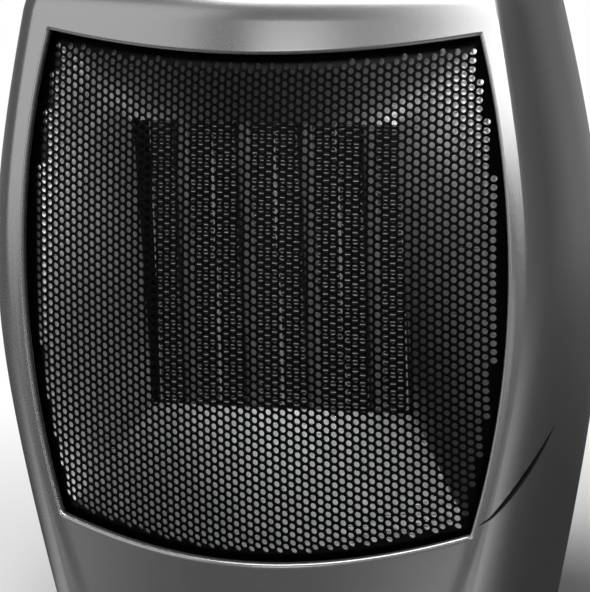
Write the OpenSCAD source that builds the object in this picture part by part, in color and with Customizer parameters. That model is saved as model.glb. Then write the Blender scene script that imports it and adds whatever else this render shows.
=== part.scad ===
// Compact ceramic fan heater. A barrel-fronted moulded casing in two halves holds a
// perforated front mesh, a funnel that frames the ceramic element, a shrouded axial fan
// with its motor, the controls on the deck, a rear air intake and a base with a tip-over switch.
// Millimetres. X runs to the right, Y to the back, Z up. The origin is on the ground, at
// the middle of the casing's width and depth.

/* [Casing] */
// Depth of the casing, front to back
case_d = 138; // [134:1:150]
// Half width of the casing at the waist
case_half_w = 91.4; // [89:0.1:95]
// Level of the waist, where the casing is widest
waist_z = 130; // [126:1:136]
// Slope that the sides reach, far above and below the waist
side_slope = 0.262; // [0.2:0.002:0.3]
// Half height of the rounded middle of the sides
side_round = 50; // [40:1:80]
// Height of the top deck
deck_z = 222; // [221:1:232]
// Radius of the edge round the deck
deck_edge_r = 14; // [11:0.5:16]
// Wall of the mouldings
wall = 2.5; // [2:0.1:3]
// Distance of the parting plane behind the middle
seam_y = 10; // [7:1:13]
// Where the rounded back begins, behind the middle
back_curve_y = -18; // [-22:1:-14]

/* [Front face] */
// Radius of the backward lean, seen from the side
lean_r = 780; // [700:10:1200]
// Level where the front stands upright
upright_z = 45; // [38:1:52]
// Slope that the bow reaches towards the sides
bow_slope = 0.3; // [0.2:0.01:0.34]
// Half width of the rounded middle of the bow
bow_mid = 44.6; // [38:0.1:60]
// Height over which the bow would fade out
bow_fade = 568; // [480:2:900]
// Level on which the bow's slope is given
bow_z = 132; // [130:1:134]
// Width of the rounded corner beside the face, at the waist
corner_w = 10; // [9:0.1:11.5]
// How much narrower that corner gets with height
corner_fade = 0.03; // [0.02:0.005:0.035]
// Slope at which the rounded corner leaves the face
corner_slope = 0.55; // [0.5:0.01:0.8]
// Reach of the rounded corner along the flank
flank_lead = 16; // [10:0.5:20]

/* [Grille opening] */
// Width of the rail between the opening and the casing's side
rail_w = 15.4; // [14:0.1:19]
// Level of the opening's widest place
open_mid_z = 135.5; // [130:0.5:140]
// Radius of the opening's sides
open_side_r = 262; // [240:2:320]
// Bottom of the opening at the middle
open_bottom_z = 49.3; // [48:0.1:54]
// Radius of the opening's bottom edge
open_bottom_r = 235; // [220:1:300]
// Top of the opening at the middle
open_top_z = 197.7; // [194:0.1:198.5]
// Radius of the brow over the opening
open_brow_r = 460; // [420:5:600]

/* [Front mesh] */
// Depth of the mesh behind the face of the frame
mesh_set = 1.7; // [1.2:0.1:2]
// Thickness of the mesh sheet
mesh_t = 1; // [0.8:0.1:1.4]
// Play between the mesh and the opening
mesh_play = 0.4; // [0.3:0.05:0.8]
// Width of the rim behind the frame
mesh_lap = 3.5; // [2.5:0.1:3.8]
// Pitch of the large holes that stand for the fine perforation
mesh_pitch = 12; // [10:0.5:16]
// Diameter of those holes
mesh_hole_d = 9.6; // [7:0.1:9.6]
// Plain margin round the perforated field
mesh_margin = 5; // [4:0.5:8]

/* [Funnel and element] */
// Width of the window in front of the element
window_w = 83.2; // [80.5:0.1:86]
// Height of the window
window_h = 87.5; // [82:0.5:90]
// Level of the window's centre
window_z = 132.7; // [130:0.1:136]
// Distance of the window behind the casing's front
window_in = 29.7; // [28:0.1:32]
// Lean of the window, backward per unit of drop
window_lean = 0.075; // [0.04:0.005:0.09]
// Thickness of the funnel
funnel_t = 1.2; // [0.8:0.1:1.6]
// Number of heating tubes in the element
tube_n = 4; // [3:1:4]
// Distance between the heating tubes
tube_pitch = 19.8; // [19.2:0.1:20]
// Width of a heating tube
tube_w = 5; // [4:0.1:5.4]
// Depth of a heating tube
tube_d = 14; // [11:0.5:15]
// Width of one corrugated fin pack
fin_w = 7; // [6:0.1:7]
// Depth of the fin packs
fin_d = 16; // [14:0.5:17]
// Height of one corrugation of the fins
fin_fold = 4; // [3:0.25:6]
// Thickness of the fin foil
fin_t = 0.5; // [0.3:0.05:0.7]
// How far the tubes reach above and below the fins
tube_over = 3.5; // [2.5:0.1:4]
// Depth of the cover lip in front of the fins
frame_lip = 3.5; // [3.4:0.1:4.5]
// Wall of the element's frame
frame_wall = 5; // [4:0.5:6]
// Play of the element in its frame
frame_play = 0.2; // [0.1:0.05:0.4]
// Height of the terminal blades over the frame
blade_h = 8; // [6:0.5:10]
// Thickness of a terminal blade
blade_t = 0.8; // [0.6:0.1:1]
// Depth of a terminal blade
blade_d = 6.3; // [4.8:0.1:8]
// Radius of the thermal cut-out
cutout_r = 7.5; // [6:0.5:9]
// Height of the thermal cut-out
cutout_h = 7; // [5:0.5:9]
// Radius of the thermal fuse
fuse_r = 2; // [1.5:0.1:2.5]
// Length of the thermal fuse
fuse_l = 12; // [10:0.5:14]

/* [Fan] */
// Radius over the blade tips
fan_r = 51.5; // [46:0.5:52]
// Gap from the blade tips to the shroud
tip_gap = 2.5; // [2:0.1:4]
// Wall of the shroud
shroud_t = 2; // [1.6:0.1:2.6]
// Number of blades
blade_n = 6; // [4:1:8]
// Radius of the hub
hub_r = 17; // [14:0.5:20]
// Length of the hub
hub_l = 18; // [16:0.5:20]
// Pitch angle of the blades
blade_pitch = 34; // [28:1:38]
// Chord of the blades
blade_chord = 22; // [18:0.5:24]
// Thickness of the blades
blade_wall = 1.6; // [1.2:0.1:2.2]
// Radius of the motor's shaft
shaft_r = 2; // [1.6:0.05:2.4]
// Running clearance round the shaft
run_gap = 0.05; // [0.02:0.01:0.1]

/* [Motor] */
// Width of the motor's core of laminations
core_w = 56; // [50:1:60]
// Height of the core of laminations
core_h = 60; // [56:1:64]
// Thickness of the stack of laminations
stack_t = 18; // [14:0.5:20]
// Radius of the rotor
rotor_r = 13; // [11:0.5:14]
// Air gap round the rotor
air_gap = 0.5; // [0.3:0.05:0.8]
// Distance of the bearing plates from the stack
bearing_reach = 4; // [3:0.25:5]
// Thickness of the bearing plates
bearing_t = 2; // [1.5:0.1:2.5]
// Distance from the motor's rear bearing to the casing's back
motor_gap = 14; // [13:0.5:16]

/* [Intake and handle] */
// Width of the rear intake
intake_w = 104; // [90:1:108]
// Height of the rear intake
intake_h = 88; // [76:1:92]
// Level of the intake's centre
intake_z = 125; // [121:1:126]
// Pitch of the intake slots
slot_pitch = 8; // [7:0.5:10]
// Height of an intake slot
slot_h = 4.2; // [3:0.1:4.5]
// Width of the handle pocket
pocket_w = 84; // [76:1:90]
// Height of the handle pocket
pocket_h = 24; // [20:0.5:25]
// Level of the pocket's centre
pocket_z = 191; // [190:0.5:192]
// Depth of the pocket from the casing's back
pocket_d = 30; // [26:0.5:33]
// Wall of the pocket
pocket_t = 2; // [1.5:0.1:2.4]

/* [Controls] */
// Radius of the control panel's tray
tray_r = 21.7; // [21:0.1:23]
// Distance between the two knobs
knob_span = 60; // [54:1:64]
// Depth of the tray below the deck
tray_in = 3; // [2.5:0.1:3.5]
// Thickness of the tray
tray_t = 2; // [1.6:0.1:2.4]
// Width of the panel's flange over the deck
flange_w = 2.3; // [1.6:0.1:2.6]
// Thickness of the panel's flange
flange_t = 1.5; // [1.2:0.1:2]
// Radius of a knob's skirt
knob_r = 16; // [13:0.5:18]
// Height of a knob
knob_h = 14.5; // [12:0.5:16]
// Thickness of a knob's skirt
skirt_h = 5; // [4:0.5:6]
// Width of a knob's grip
grip_w = 7.5; // [6:0.5:9]
// Radius of the control spindles
spindle_r = 3; // [2.5:0.1:3.2]
// Radius of the threaded bushes
bush_r = 4.6; // [4.2:0.1:5]
// Width of the thermostat
stat_w = 30; // [26:1:34]
// Height of the thermostat
stat_h = 16; // [14:0.5:18]
// Radius of the indicator lens
lens_r = 3.2; // [2.5:0.1:4]

/* [Base] */
// Height of the rubber feet below the base
foot_h = 3; // [2:0.1:4]
// Radius of the rubber feet
foot_r = 8; // [6:0.5:9]
// Height of the base's visible rim
base_h = 8.3; // [7:0.1:10]
// Floor of the base
base_t = 3; // [2.5:0.1:3.5]
// How far the base's rim stands in from the casing
base_reveal = 0.8; // [0.5:0.1:1.5]
// Height of the lip that locates the casing
lip_h = 6.7; // [5:0.1:8]
// Radius of the tip-over switch's plunger
plunger_r = 3; // [2.5:0.1:3.5]
// Travel of the plunger
plunger_travel = 4; // [3:0.5:5]
// Distance of the plunger in front of the middle
plunger_y = 15; // [10:1:20]
// Radius of the cord gland
gland_r = 6; // [5:0.5:7]
// Level of the cord gland
gland_z = 32; // [29:1:36]
// Radius of the cord that the gland takes
cord_r = 3.6; // [3:0.1:4]

/* [Fasteners] */
// Radius of the screws' shanks
screw_r = 1.5; // [1.3:0.1:1.7]
// Radius of the screws' heads
head_r = 3; // [2.6:0.1:3.3]
// Height of the screws' heads
head_h = 1.8; // [1.4:0.1:2.2]
// Radius of the screw bosses
boss_r = 4.5; // [4.2:0.1:5]

/* [Hidden] */
$fn = 48;
// Facets of the long arcs round the grille opening
arc_fn = 360;
// Clearance of pieces that are set into one another
fit = 0.3;
// Small overlap that joins the solids of one piece
bite = 0.5;
// Reach of a cut beyond the surface that it opens
past = 1;
// Any size larger than the heater, for cuts that go right through
far = 400;

front = -case_d / 2;
back = case_d / 2;
open_half_w = case_half_w - rail_w;
base_z = foot_h;
floor_z = base_z + base_t;
case_z = base_z + base_h;
lip_z = case_z + lip_h;

// Half widths at a level, of the casing and of its face, the latter set in by d
function side_fall(z) = side_slope * (sqrt(pow(z - waist_z, 2) + side_round * side_round) - side_round);
function case_x(z) = case_half_w - side_fall(z);
function crease_x(z, d) = case_x(z) - corner_w + corner_fade * (z - waist_z) - d / 2;

// Distance of the face behind the casing's front: the lean, and the bow across
function lean(z) = pow(z - upright_z, 2) / (2 * lean_r);
function bow(x, z) = bow_slope * (1 - (z - bow_z) / bow_fade) * (sqrt(x * x + bow_mid * bow_mid) - bow_mid);
function face_y(x, z) = front + lean(z) + bow(x, z);

// Y of the rounded back at x, and half width of the rounded back at y
function back_depth(d) = back - d - back_curve_y;
function back_y(x, z, d = 0) = back_curve_y + back_depth(d) * sqrt(1 - pow(x / (case_x(z) - d), 2));
function back_x(y, z, d = 0) = (case_x(z) - d) * sqrt(1 - pow((y - back_curve_y) / back_depth(d), 2));

// Right half of the casing's outline at one level, set in by d all round
face_steps = 8;
corner_steps = 6;
back_steps = 14;
function bezier(p0, p1, p2, p3, t) =
    pow(1 - t, 3) * p0 + 3 * t * pow(1 - t, 2) * p1 + 3 * t * t * (1 - t) * p2 + pow(t, 3) * p3;
function corner_points(z, d) =
    let (x0 = crease_x(z, d), x1 = case_x(z) - d)
    let (p0 = [x0, face_y(x0, z) + d], p1 = p0 + (x1 - x0) * [1, corner_slope])
    let (p2 = [x1, max(back_curve_y - flank_lead, p1[1])], p3 = [x1, back_curve_y])
    [for (i = [0 : corner_steps - 1]) bezier(p0, p1, p2, p3, i / corner_steps)];
function half_outline(z, d) = concat(
    [for (i = [0 : face_steps - 1])
        let (x = crease_x(z, d) * i / face_steps) [x, face_y(x, z) + d]],
    corner_points(z, d),
    [for (i = [0 : back_steps])
        let (a = 90 * i / back_steps)
        [(case_x(z) - d) * cos(a), back_curve_y + back_depth(d) * sin(a)]]);

// Whole outline, from the middle of the front round by the right
function outline(z, d) =
    let (half = half_outline(z, d), n = len(half))
    concat(half, [for (i = [n - 2 : -1 : 1]) [-half[i][0], half[i][1]]]);

// Levels of the casing, each with the inset that rounds the deck's edge
level_steps = 13;
edge_steps = 4;
function levels(z0, top, r) = concat(
    [for (i = [0 : level_steps]) [z0 + (top - r - z0) * i / level_steps, 0]],
    [for (i = [1 : edge_steps])
        let (a = 90 * i / edge_steps) [top - r + r * sin(a), r * (1 - cos(a))]]);

// Closed body through a stack of rings that all have the same number of points
module stack(rings) {
    n = len(rings[0]);
    m = len(rings);
    points = [for (ring = rings) each ring];
    sides = [for (j = [0 : m - 2]) for (i = [0 : n - 1])
        let (a = j * n + i, b = j * n + (i + 1) % n)
        each [[a, a + n, b + n], [a, b + n, b]]];
    polyhedron(points, concat(
        [[for (i = [0 : n - 1]) i]],
        sides,
        [[for (i = [n - 1 : -1 : 0]) (m - 1) * n + i]]), convexity = 6);
}

// The casing as one body, set in by d, from level z0 up
module case_body(d, z0) {
    rings = [for (l = levels(z0, deck_z - d, deck_edge_r - d))
        [for (p = outline(l[0], d + l[1])) [p[0], p[1], l[0]]]];
    stack(rings);
}

// The hollow casing
module case_shell() {
    difference() {
        case_body(0, case_z);
        case_body(wall, case_z - past);
    }
}

// Grille opening, drawn in X and Z and set out by grow
module opening_2d(grow) {
    difference() {
        intersection() {
            translate([open_side_r - open_half_w, open_mid_z])
                circle(open_side_r + grow, $fn = arc_fn);
            translate([open_half_w - open_side_r, open_mid_z])
                circle(open_side_r + grow, $fn = arc_fn);
            translate([0, open_bottom_z + open_bottom_r])
                circle(open_bottom_r + grow, $fn = arc_fn);
        }
        translate([0, open_top_z + open_brow_r])
            circle(open_brow_r - grow, $fn = arc_fn);
    }
}

module along_y(y, l) translate([0, y + l, 0]) rotate([90, 0, 0]) linear_extrude(l) children();
module rod_y(x, y, z, r, l) translate([x, y, z]) rotate([-90, 0, 0]) cylinder(r = r, h = l);
module rod_z(x, y, z, r, l) translate([x, y, z]) cylinder(r = r, h = l);
module block(x, y, z) translate([x[0], y[0], z[0]]) cube([x[1] - x[0], y[1] - y[0], z[1] - z[0]]);
module centred(w, h) square([w, h], center = true);

// Places of the screws and bosses
boss_bore = screw_r + run_gap;
boss_end = 3;
rib_t = 3;
rib_l = 8;
seam_screw_x = 60;
seam_screw_z = [60, 190];
seam_head_y = seam_y + 6;
post_x = 40;
post_low_drop = 11.3;
post_high_rise = 10.3;
post_low_z = open_bottom_z - post_low_drop;
post_high_z = open_top_z + post_high_rise;
post_bite = 0.4;
post_in = wall - post_bite;
base_screw_z = 15;
base_rib_z = lip_z + 1;
base_rib_h = 4;

module front_posts() {
    for (x = [-post_x, post_x], z = [post_low_z, post_high_z])
        difference() {
            rod_y(x, face_y(post_x, z) + post_in, z, boss_r, plate_y - face_y(post_x, z) - post_in);
            rod_y(x, plate_y - post_bore_l, z, boss_bore, post_bore_l + past);
        }
}

// A boss that stands on the base, tied to the side wall by a rib
module base_boss(x, y, wall_x) {
    difference() {
        union() {
            rod_z(x, y, floor_z, boss_r, base_screw_z + boss_end + past);
            block([x, wall_x], [y - rib_t / 2, y + rib_t / 2], [base_rib_z, base_rib_z + base_rib_h]);
        }
        rod_z(x, y, floor_z - past, boss_bore, base_screw_z + past);
    }
}

// A boss at the parting plane, tied to the side wall by a rib
module seam_boss(z, y0, y1) {
    difference() {
        union() {
            rod_y(seam_screw_x, y0, z, boss_r, y1 - y0);
            block(
                [seam_screw_x, back_x(seam_y, z, wall / 2)],
                [y1 - past - rib_l, y1 - past],
                [z - rib_t / 2, z + rib_t / 2]);
        }
        rod_y(seam_screw_x, y0 + boss_end, z, boss_bore, y1 - y0);
    }
}

function seam_boss_end(z) = back_y(seam_screw_x + boss_r, z, wall / 2);
front_boss_l = 18;
base_front = [52, -28];
base_rear = [48, 22];
base_front_wall = case_x(base_rib_z) - wall / 2;
base_rear_wall = back_x(base_rear[1], base_rib_z, wall / 2);
post_bore_l = 14;

module front_frame() {
    color([0.62, 0.63, 0.64]) {
        difference() {
            intersection() {
                case_shell();
                block([-far, far], [-far, seam_y], [-far, far]);
            }
            along_y(front - past, case_d / 2) opening_2d(0);
            deck_hole();
        }
        front_posts();
        for (side = [0, 1]) mirror([side, 0, 0]) {
            for (z = seam_screw_z) seam_boss(z, seam_y - front_boss_l, seam_y);
            base_boss(base_front[0], base_front[1], base_front_wall);
        }
    }
}

module rear_shell() {
    color([0.42, 0.43, 0.44]) {
        difference() {
            union() {
                intersection() {
                    case_shell();
                    block([-far, far], [seam_y, far], [-far, far]);
                }
                for (side = [0, 1]) mirror([side, 0, 0]) for (z = seam_screw_z)
                    rod_y(seam_screw_x, seam_y, z, boss_r, seam_boss_end(z) - seam_y);
            }
            for (side = [-1, 1], z = seam_screw_z) {
                rod_y(side * seam_screw_x, seam_y - past, z, screw_r + fit, far);
                rod_y(side * seam_screw_x, seam_head_y, z, head_r + fit, far);
            }
            along_y(0, case_d) translate([0, intake_z]) centred(intake_w, intake_h);
            along_y(0, case_d) translate([0, pocket_z]) centred(pocket_w, pocket_h);
            rod_y(0, 0, gland_z, gland_r + fit, case_d);
            deck_hole();
        }
        for (side = [0, 1]) mirror([side, 0, 0])
            base_boss(base_rear[0], base_rear[1], base_rear_wall);
    }
}

// Front mesh: the curved sheet in the opening, and its rim behind the frame
sheet_over = 6;
sheet_x = open_half_w + mesh_lap + sheet_over;
sheet_low = open_bottom_z - mesh_lap - sheet_over;
sheet_high = top_z(sheet_x) + mesh_lap + sheet_over / 2;
sheet_cols = 16;
sheet_rows = 10;
module face_sheet(d0, d1) {
    xs = [for (i = [0 : sheet_cols]) sheet_x * (2 * i / sheet_cols - 1)];
    rings = [for (j = [0 : sheet_rows])
        let (z = sheet_low + (sheet_high - sheet_low) * j / sheet_rows)
        concat(
            [for (x = xs) [x, face_y(x, z) + d0, z]],
            [for (i = [sheet_cols : -1 : 0]) [xs[i], face_y(xs[i], z) + d1, z]])];
    stack(rings);
}

mesh_back = mesh_set + mesh_t;
rim_d = wall + fit;
module mesh_holes() {
    row = mesh_pitch * sqrt(3) / 2;
    n = ceil(sheet_x / row);
    m = ceil((sheet_high - sheet_low) / mesh_pitch / 2);
    intersection() {
        opening_2d(-mesh_margin);
        for (i = [-n : n], j = [-m : m])
            translate([i * row, open_mid_z + (j + (i % 2 == 0 ? 0 : 0.5)) * mesh_pitch])
                circle(mesh_hole_d / 2, $fn = 6);
    }
}

module mesh_grille() {
    color([0.05, 0.05, 0.05]) {
        difference() {
            intersection() {
                face_sheet(mesh_set, mesh_back);
                along_y(front - past, case_d / 2) opening_2d(-mesh_play);
            }
            along_y(front - past, case_d / 2) mesh_holes();
        }
        intersection() {
            face_sheet(mesh_back - mesh_t / 2, rim_d + mesh_t);
            along_y(front - past, case_d / 2) difference() {
                opening_2d(-mesh_play);
                opening_2d(-mesh_lap);
            }
        }
        intersection() {
            face_sheet(rim_d, rim_d + mesh_t);
            along_y(front - past, case_d / 2) difference() {
                opening_2d(mesh_lap);
                opening_2d(-mesh_lap);
            }
        }
    }
}

// Corners of the grille opening, found by stepping between its two arcs
function side_x(z) = open_half_w - open_side_r + sqrt(pow(open_side_r, 2) - pow(z - open_mid_z, 2));
function bottom_z(x) = open_bottom_z + open_bottom_r - sqrt(pow(open_bottom_r, 2) - x * x);
function top_z(x) = open_top_z + open_brow_r - sqrt(pow(open_brow_r, 2) - x * x);
function low_corner(n = 10, x = 0.85 * open_half_w) = n == 0 ? x : low_corner(n - 1, side_x(bottom_z(x)));
function high_corner(n = 10, x = 0.9 * open_half_w) = n == 0 ? x : high_corner(n - 1, side_x(top_z(x)));

window_y = front + window_in;
function window_front(z) = window_y - window_lean * (z - window_z);
funnel_in = 1.2;
funnel_gap = rim_d + mesh_t + fit;
wall_steps = 8;

// Outer rim of the funnel, just inside the opening, from the lower right corner round
function rim_points() =
    let (xl = low_corner() - funnel_in, xh = high_corner() - funnel_in)
    let (zl = bottom_z(xl) + funnel_in, zh = top_z(xh) - funnel_in, n = wall_steps)
    concat(
        [for (i = [0 : n - 1]) let (z = zl + (zh - zl) * i / n) [side_x(z) - funnel_in, z]],
        [for (i = [0 : n - 1]) let (x = xh * (1 - 2 * i / n)) [x, top_z(x) - funnel_in]],
        [for (i = [0 : n - 1]) let (z = zh + (zl - zh) * i / n) [funnel_in - side_x(z), z]],
        [for (i = [0 : n - 1]) let (x = xl * (2 * i / n - 1)) [x, bottom_z(x) + funnel_in]]);

// Inner rim of the funnel, round the window, in the same order
function window_points() =
    let (x = window_w / 2, z0 = window_z - window_h / 2, z1 = window_z + window_h / 2, n = wall_steps)
    concat(
        [for (i = [0 : n - 1]) [x, z0 + (z1 - z0) * i / n]],
        [for (i = [0 : n - 1]) [x * (1 - 2 * i / n), z1]],
        [for (i = [0 : n - 1]) [-x, z1 + (z0 - z1) * i / n]],
        [for (i = [0 : n - 1]) [x * (2 * i / n - 1), z0]]);

module duct_funnel() {
    outer = rim_points();
    inner = window_points();
    n = len(outer);
    function out(p, d) = [p[0], face_y(p[0], p[1]) + funnel_gap + d, p[1]];
    function at_window(p, d) = [p[0], window_front(p[1]) - funnel_t - 2 * fit + d, p[1]];
    points = concat(
        [for (p = inner) at_window(p, 0)],
        [for (p = outer) out(p, 0)],
        [for (p = outer) out(p, funnel_t)],
        [for (p = inner) at_window(p, funnel_t)]);
    faces = [for (k = [0 : 3]) for (i = [0 : n - 1])
        let (a = k * n + i, b = k * n + (i + 1) % n, next = (k + 1) % 4 * n - k * n)
        each [[a, b, b + next], [a, b + next, a + next]]];
    color([0.75, 0.75, 0.76]) polyhedron(points, faces, convexity = 6);
}

// Heating element: tubes, corrugated fins and terminals in a heat-resisting frame
strip_gap = 0.1;
strip_t = (tube_pitch - tube_w - strip_gap) / 2 - fin_w;
fin_h = window_h - 1.5;
tube_l = fin_h + 2 * tube_over;
fin_y = window_y + frame_lip + fit;
fin_mid_y = fin_y + fin_d / 2;
element_w = tube_n * tube_pitch;
element_z0 = window_z - tube_l / 2;
element_z1 = window_z + tube_l / 2;
plate_gap = 2.5;
plate_y = fin_y + fin_d + plate_gap;
frame_half_w = max(window_w, element_w) / 2 + frame_wall;
frame_z0 = element_z0 - frame_play - frame_wall;
frame_z1 = element_z1 + frame_play + frame_wall;
function tube_x(i) = (i - (tube_n - 1) / 2) * tube_pitch;

// Half space in front of a plane that leans with the window, d behind the window
module before_window(d) {
    translate([0, window_y + d, window_z]) rotate([atan(window_lean), 0, 0])
        translate([-far / 2, -far, -far / 2]) cube([far, far, far]);
}

// The frame ends in a narrow surround, which meets the funnel round the window
surround_w = 1;
surround_step = 3;
module element_frame() {
    color([0.06, 0.06, 0.06]) difference() {
        block(
            [-frame_half_w, frame_half_w],
            [window_y - window_lean * frame_z1, plate_y],
            [frame_z0, frame_z1]);
        before_window(0);
        difference() {
            before_window(surround_step);
            along_y(window_y - far / 2, far) translate([0, window_z])
                centred(window_w + 2 * surround_w, window_h + 2 * surround_w);
        }
        along_y(window_y - far / 2, far) translate([0, window_z]) centred(window_w, window_h);
        block(
            [-element_w / 2 - frame_play, element_w / 2 + frame_play],
            [window_y + frame_lip, plate_y + past],
            [element_z0 - frame_play, element_z1 + frame_play]);
        for (i = [0 : tube_n - 1])
            block(
                [tube_x(i) - blade_t / 2 - fit, tube_x(i) + blade_t / 2 + fit],
                [fin_mid_y - blade_d / 2 - fit, fin_mid_y + blade_d / 2 + fit],
                [element_z1 - past, frame_z1 + past]);
    }
}

module heating_tubes() {
    color([0.72, 0.73, 0.75]) for (i = [0 : tube_n - 1])
        block(
            [tube_x(i) - tube_w / 2, tube_x(i) + tube_w / 2],
            [fin_mid_y - tube_d / 2, fin_mid_y + tube_d / 2],
            [element_z0, element_z1]);
}

// One fin pack: foil folded up and down between a tube and an outer strip
fold_n = floor(fin_h / fin_fold);
fold_h = fin_h / fold_n;
fold_in = 0.1;
module fin_pack() {
    foil = fin_t * sqrt(1 + pow(fin_w / fold_h, 2));
    near = [for (i = [0 : fold_n]) [i % 2 == 0 ? fold_in : fin_w - foil, i * fold_h]];
    away = [for (i = [fold_n : -1 : 0]) near[i] + [foil, 0]];
    translate([0, fin_y + fin_d, window_z - fin_h / 2]) rotate([90, 0, 0]) linear_extrude(fin_d) {
        polygon(concat(near, away));
        translate([fin_w - fold_in, 0]) square([strip_t + fold_in, fin_h]);
    }
}

module fin_packs() {
    color([0.78, 0.79, 0.8]) for (i = [0 : tube_n - 1], side = [0, 1])
        translate([tube_x(i), 0, 0]) mirror([side, 0, 0]) translate([tube_w / 2, 0, 0]) fin_pack();
}

module terminal_blades() {
    color([0.8, 0.72, 0.45]) for (i = [0 : tube_n - 1])
        block(
            [tube_x(i) - blade_t / 2, tube_x(i) + blade_t / 2],
            [fin_mid_y - blade_d / 2, fin_mid_y + blade_d / 2],
            [element_z1, frame_z1 + blade_h]);
}

// Thermal cut-out and thermal fuse, each on the frame between two terminal blades
module thermal_cutout() {
    ear_half = cutout_r + 1.5;
    tab_w = 4;
    tab_h = 6;
    color([0.55, 0.56, 0.58]) translate([(tube_x(0) + tube_x(1)) / 2, fin_mid_y, frame_z1]) {
        cylinder(r = cutout_r, h = cutout_h);
        translate([-ear_half, -blade_d / 2, 0]) cube([2 * ear_half, blade_d, blade_t]);
        for (s = [-1, 1])
            translate([s * cutout_r / 2 - blade_t / 2, -tab_w / 2, cutout_h - bite])
                cube([blade_t, tab_w, tab_h + bite]);
    }
}

module thermal_fuse() {
    lead_r = 0.5;
    lead_l = 3;
    color([0.86, 0.86, 0.84])
        translate([(tube_x(tube_n - 2) + tube_x(tube_n - 1)) / 2, fin_mid_y, frame_z1 + fuse_r + fit])
            rotate([0, 90, 0]) {
                cylinder(r = fuse_r, h = fuse_l, center = true);
                cylinder(r = lead_r, h = fuse_l + 2 * lead_l, center = true);
            }
}

// Fan: shroud with its plate, lugs and motor spider
ring_r = fan_r + tip_gap;
ring_end = back - motor_gap - stack_t - 2 * (bearing_reach + bearing_t);
shroud_l = ring_end - plate_y;
spider_t = 3;
spider_r = 25;
spoke_w = 8;
lug_w = 12;
plate_t = 2;
module fan_shroud() {
    color([0.09, 0.09, 0.09]) difference() {
        union() {
            along_y(plate_y, plate_t) {
                translate([0, window_z]) centred(2 * (ring_r + shroud_t), 2 * (ring_r + shroud_t));
                for (x = [-post_x, post_x])
                    translate([x - lug_w / 2, post_low_z - lug_w / 2])
                        square([lug_w, post_high_z - post_low_z + lug_w]);
            }
            rod_y(0, plate_y, window_z, ring_r + shroud_t, shroud_l);
        }
        rod_y(0, plate_y - past, window_z, ring_r, shroud_l - spider_t + past);
        difference() {
            rod_y(0, ring_end - spider_t - past, window_z, ring_r, spider_t + 2 * past);
            rod_y(0, ring_end - spider_t - 2 * past, window_z, spider_r, spider_t + 4 * past);
            for (a = [45 : 90 : 315]) translate([0, 0, window_z]) rotate([0, a, 0])
                block(
                    [0, ring_r + past],
                    [ring_end - spider_t - 2 * past, ring_end + 2 * past],
                    [-spoke_w / 2, spoke_w / 2]);
        }
        rod_y(0, ring_end - spider_t - past, window_z, bearing_boss_r + fit, spider_t + 2 * past);
        for (x = [-post_x, post_x], z = [post_low_z, post_high_z])
            rod_y(x, plate_y - past, z, screw_r + fit, plate_t + 2 * past);
        motor_screw_holes(ring_end - spider_t - past, spider_t + 2 * past, boss_bore);
    }
}

// Impeller: hub with a closed nose and cambered blades
spider_gap = 3;
hub_wall = 2;
core_r = 5;
hub_y = ring_end - spider_t - spider_gap - hub_l;
blade_mid_y = hub_y + hub_l / 2;
module blade() {
    camber_r = 34;
    half = asin(blade_chord / 2 / camber_r);
    rotate([0, 90, 0]) rotate([0, 0, blade_pitch]) linear_extrude(fan_r + past)
        translate([0, -camber_r * cos(half / 1.4)]) polygon(concat(
            [for (i = [-4 : 4]) (camber_r + blade_wall / 2) * [sin(half * i / 4), cos(half * i / 4)]],
            [for (i = [4 : -1 : -4]) (camber_r - blade_wall / 2) * [sin(half * i / 4), cos(half * i / 4)]]));
}

module impeller() {
    color([0.12, 0.12, 0.13]) difference() {
        union() {
            rod_y(0, hub_y, window_z, hub_r, hub_l);
            intersection() {
                for (a = [0 : 360 / blade_n : 359])
                    translate([0, blade_mid_y, window_z]) rotate([0, a, 0]) blade();
                difference() {
                    rod_y(0, hub_y - hub_l, window_z, fan_r, 3 * hub_l);
                    rod_y(0, hub_y - hub_l - past, window_z, hub_r - hub_wall / 2, 3 * hub_l + 2 * past);
                }
            }
        }
        rod_y(0, hub_y + hub_wall, window_z, hub_r - hub_wall, hub_l);
        rod_y(0, hub_y - past, window_z, shaft_r + run_gap, hub_l);
    }
    color([0.12, 0.12, 0.13]) difference() {
        rod_y(0, hub_y + hub_wall - bite, window_z, core_r, hub_l - hub_wall + bite - past);
        rod_y(0, hub_y - past, window_z, shaft_r + run_gap, hub_l + 2 * past);
    }
}

// Motor: stack of laminations with its coil, bearing plates, rotor, shaft and screws
bearing_boss_r = 5;
leg_r = 4;
front_bearing_y = ring_end;
stack_y = front_bearing_y + bearing_t + bearing_reach;
stack_end = stack_y + stack_t;
rear_bearing_y = stack_end + bearing_reach;
screw_edge = 5;
motor_screw_x = core_w / 2 - screw_edge;
motor_screw_dz = 9;
limb = 11;
yoke = 9;
bridge = 4;
stack_top = rotor_r + air_gap + yoke;
stack_low = core_h - stack_top;
coil_window_top = -rotor_r - air_gap - bridge;

module motor_screw_holes(y, l, r) {
    for (x = [-motor_screw_x, motor_screw_x])
        rod_y(x, y, window_z + motor_screw_dz, r, l);
}

module motor_stack() {
    color([0.5, 0.51, 0.53]) difference() {
        along_y(stack_y, stack_t) translate([0, window_z]) difference() {
            translate([-core_w / 2, -stack_low]) square([core_w, core_h]);
            circle(rotor_r + air_gap);
            translate([-core_w / 2 + limb, -stack_low + limb])
                square([core_w - 2 * limb, coil_window_top + stack_low - limb]);
        }
        motor_screw_holes(stack_y - past, stack_t + 2 * past, screw_r + fit);
    }
}

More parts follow.
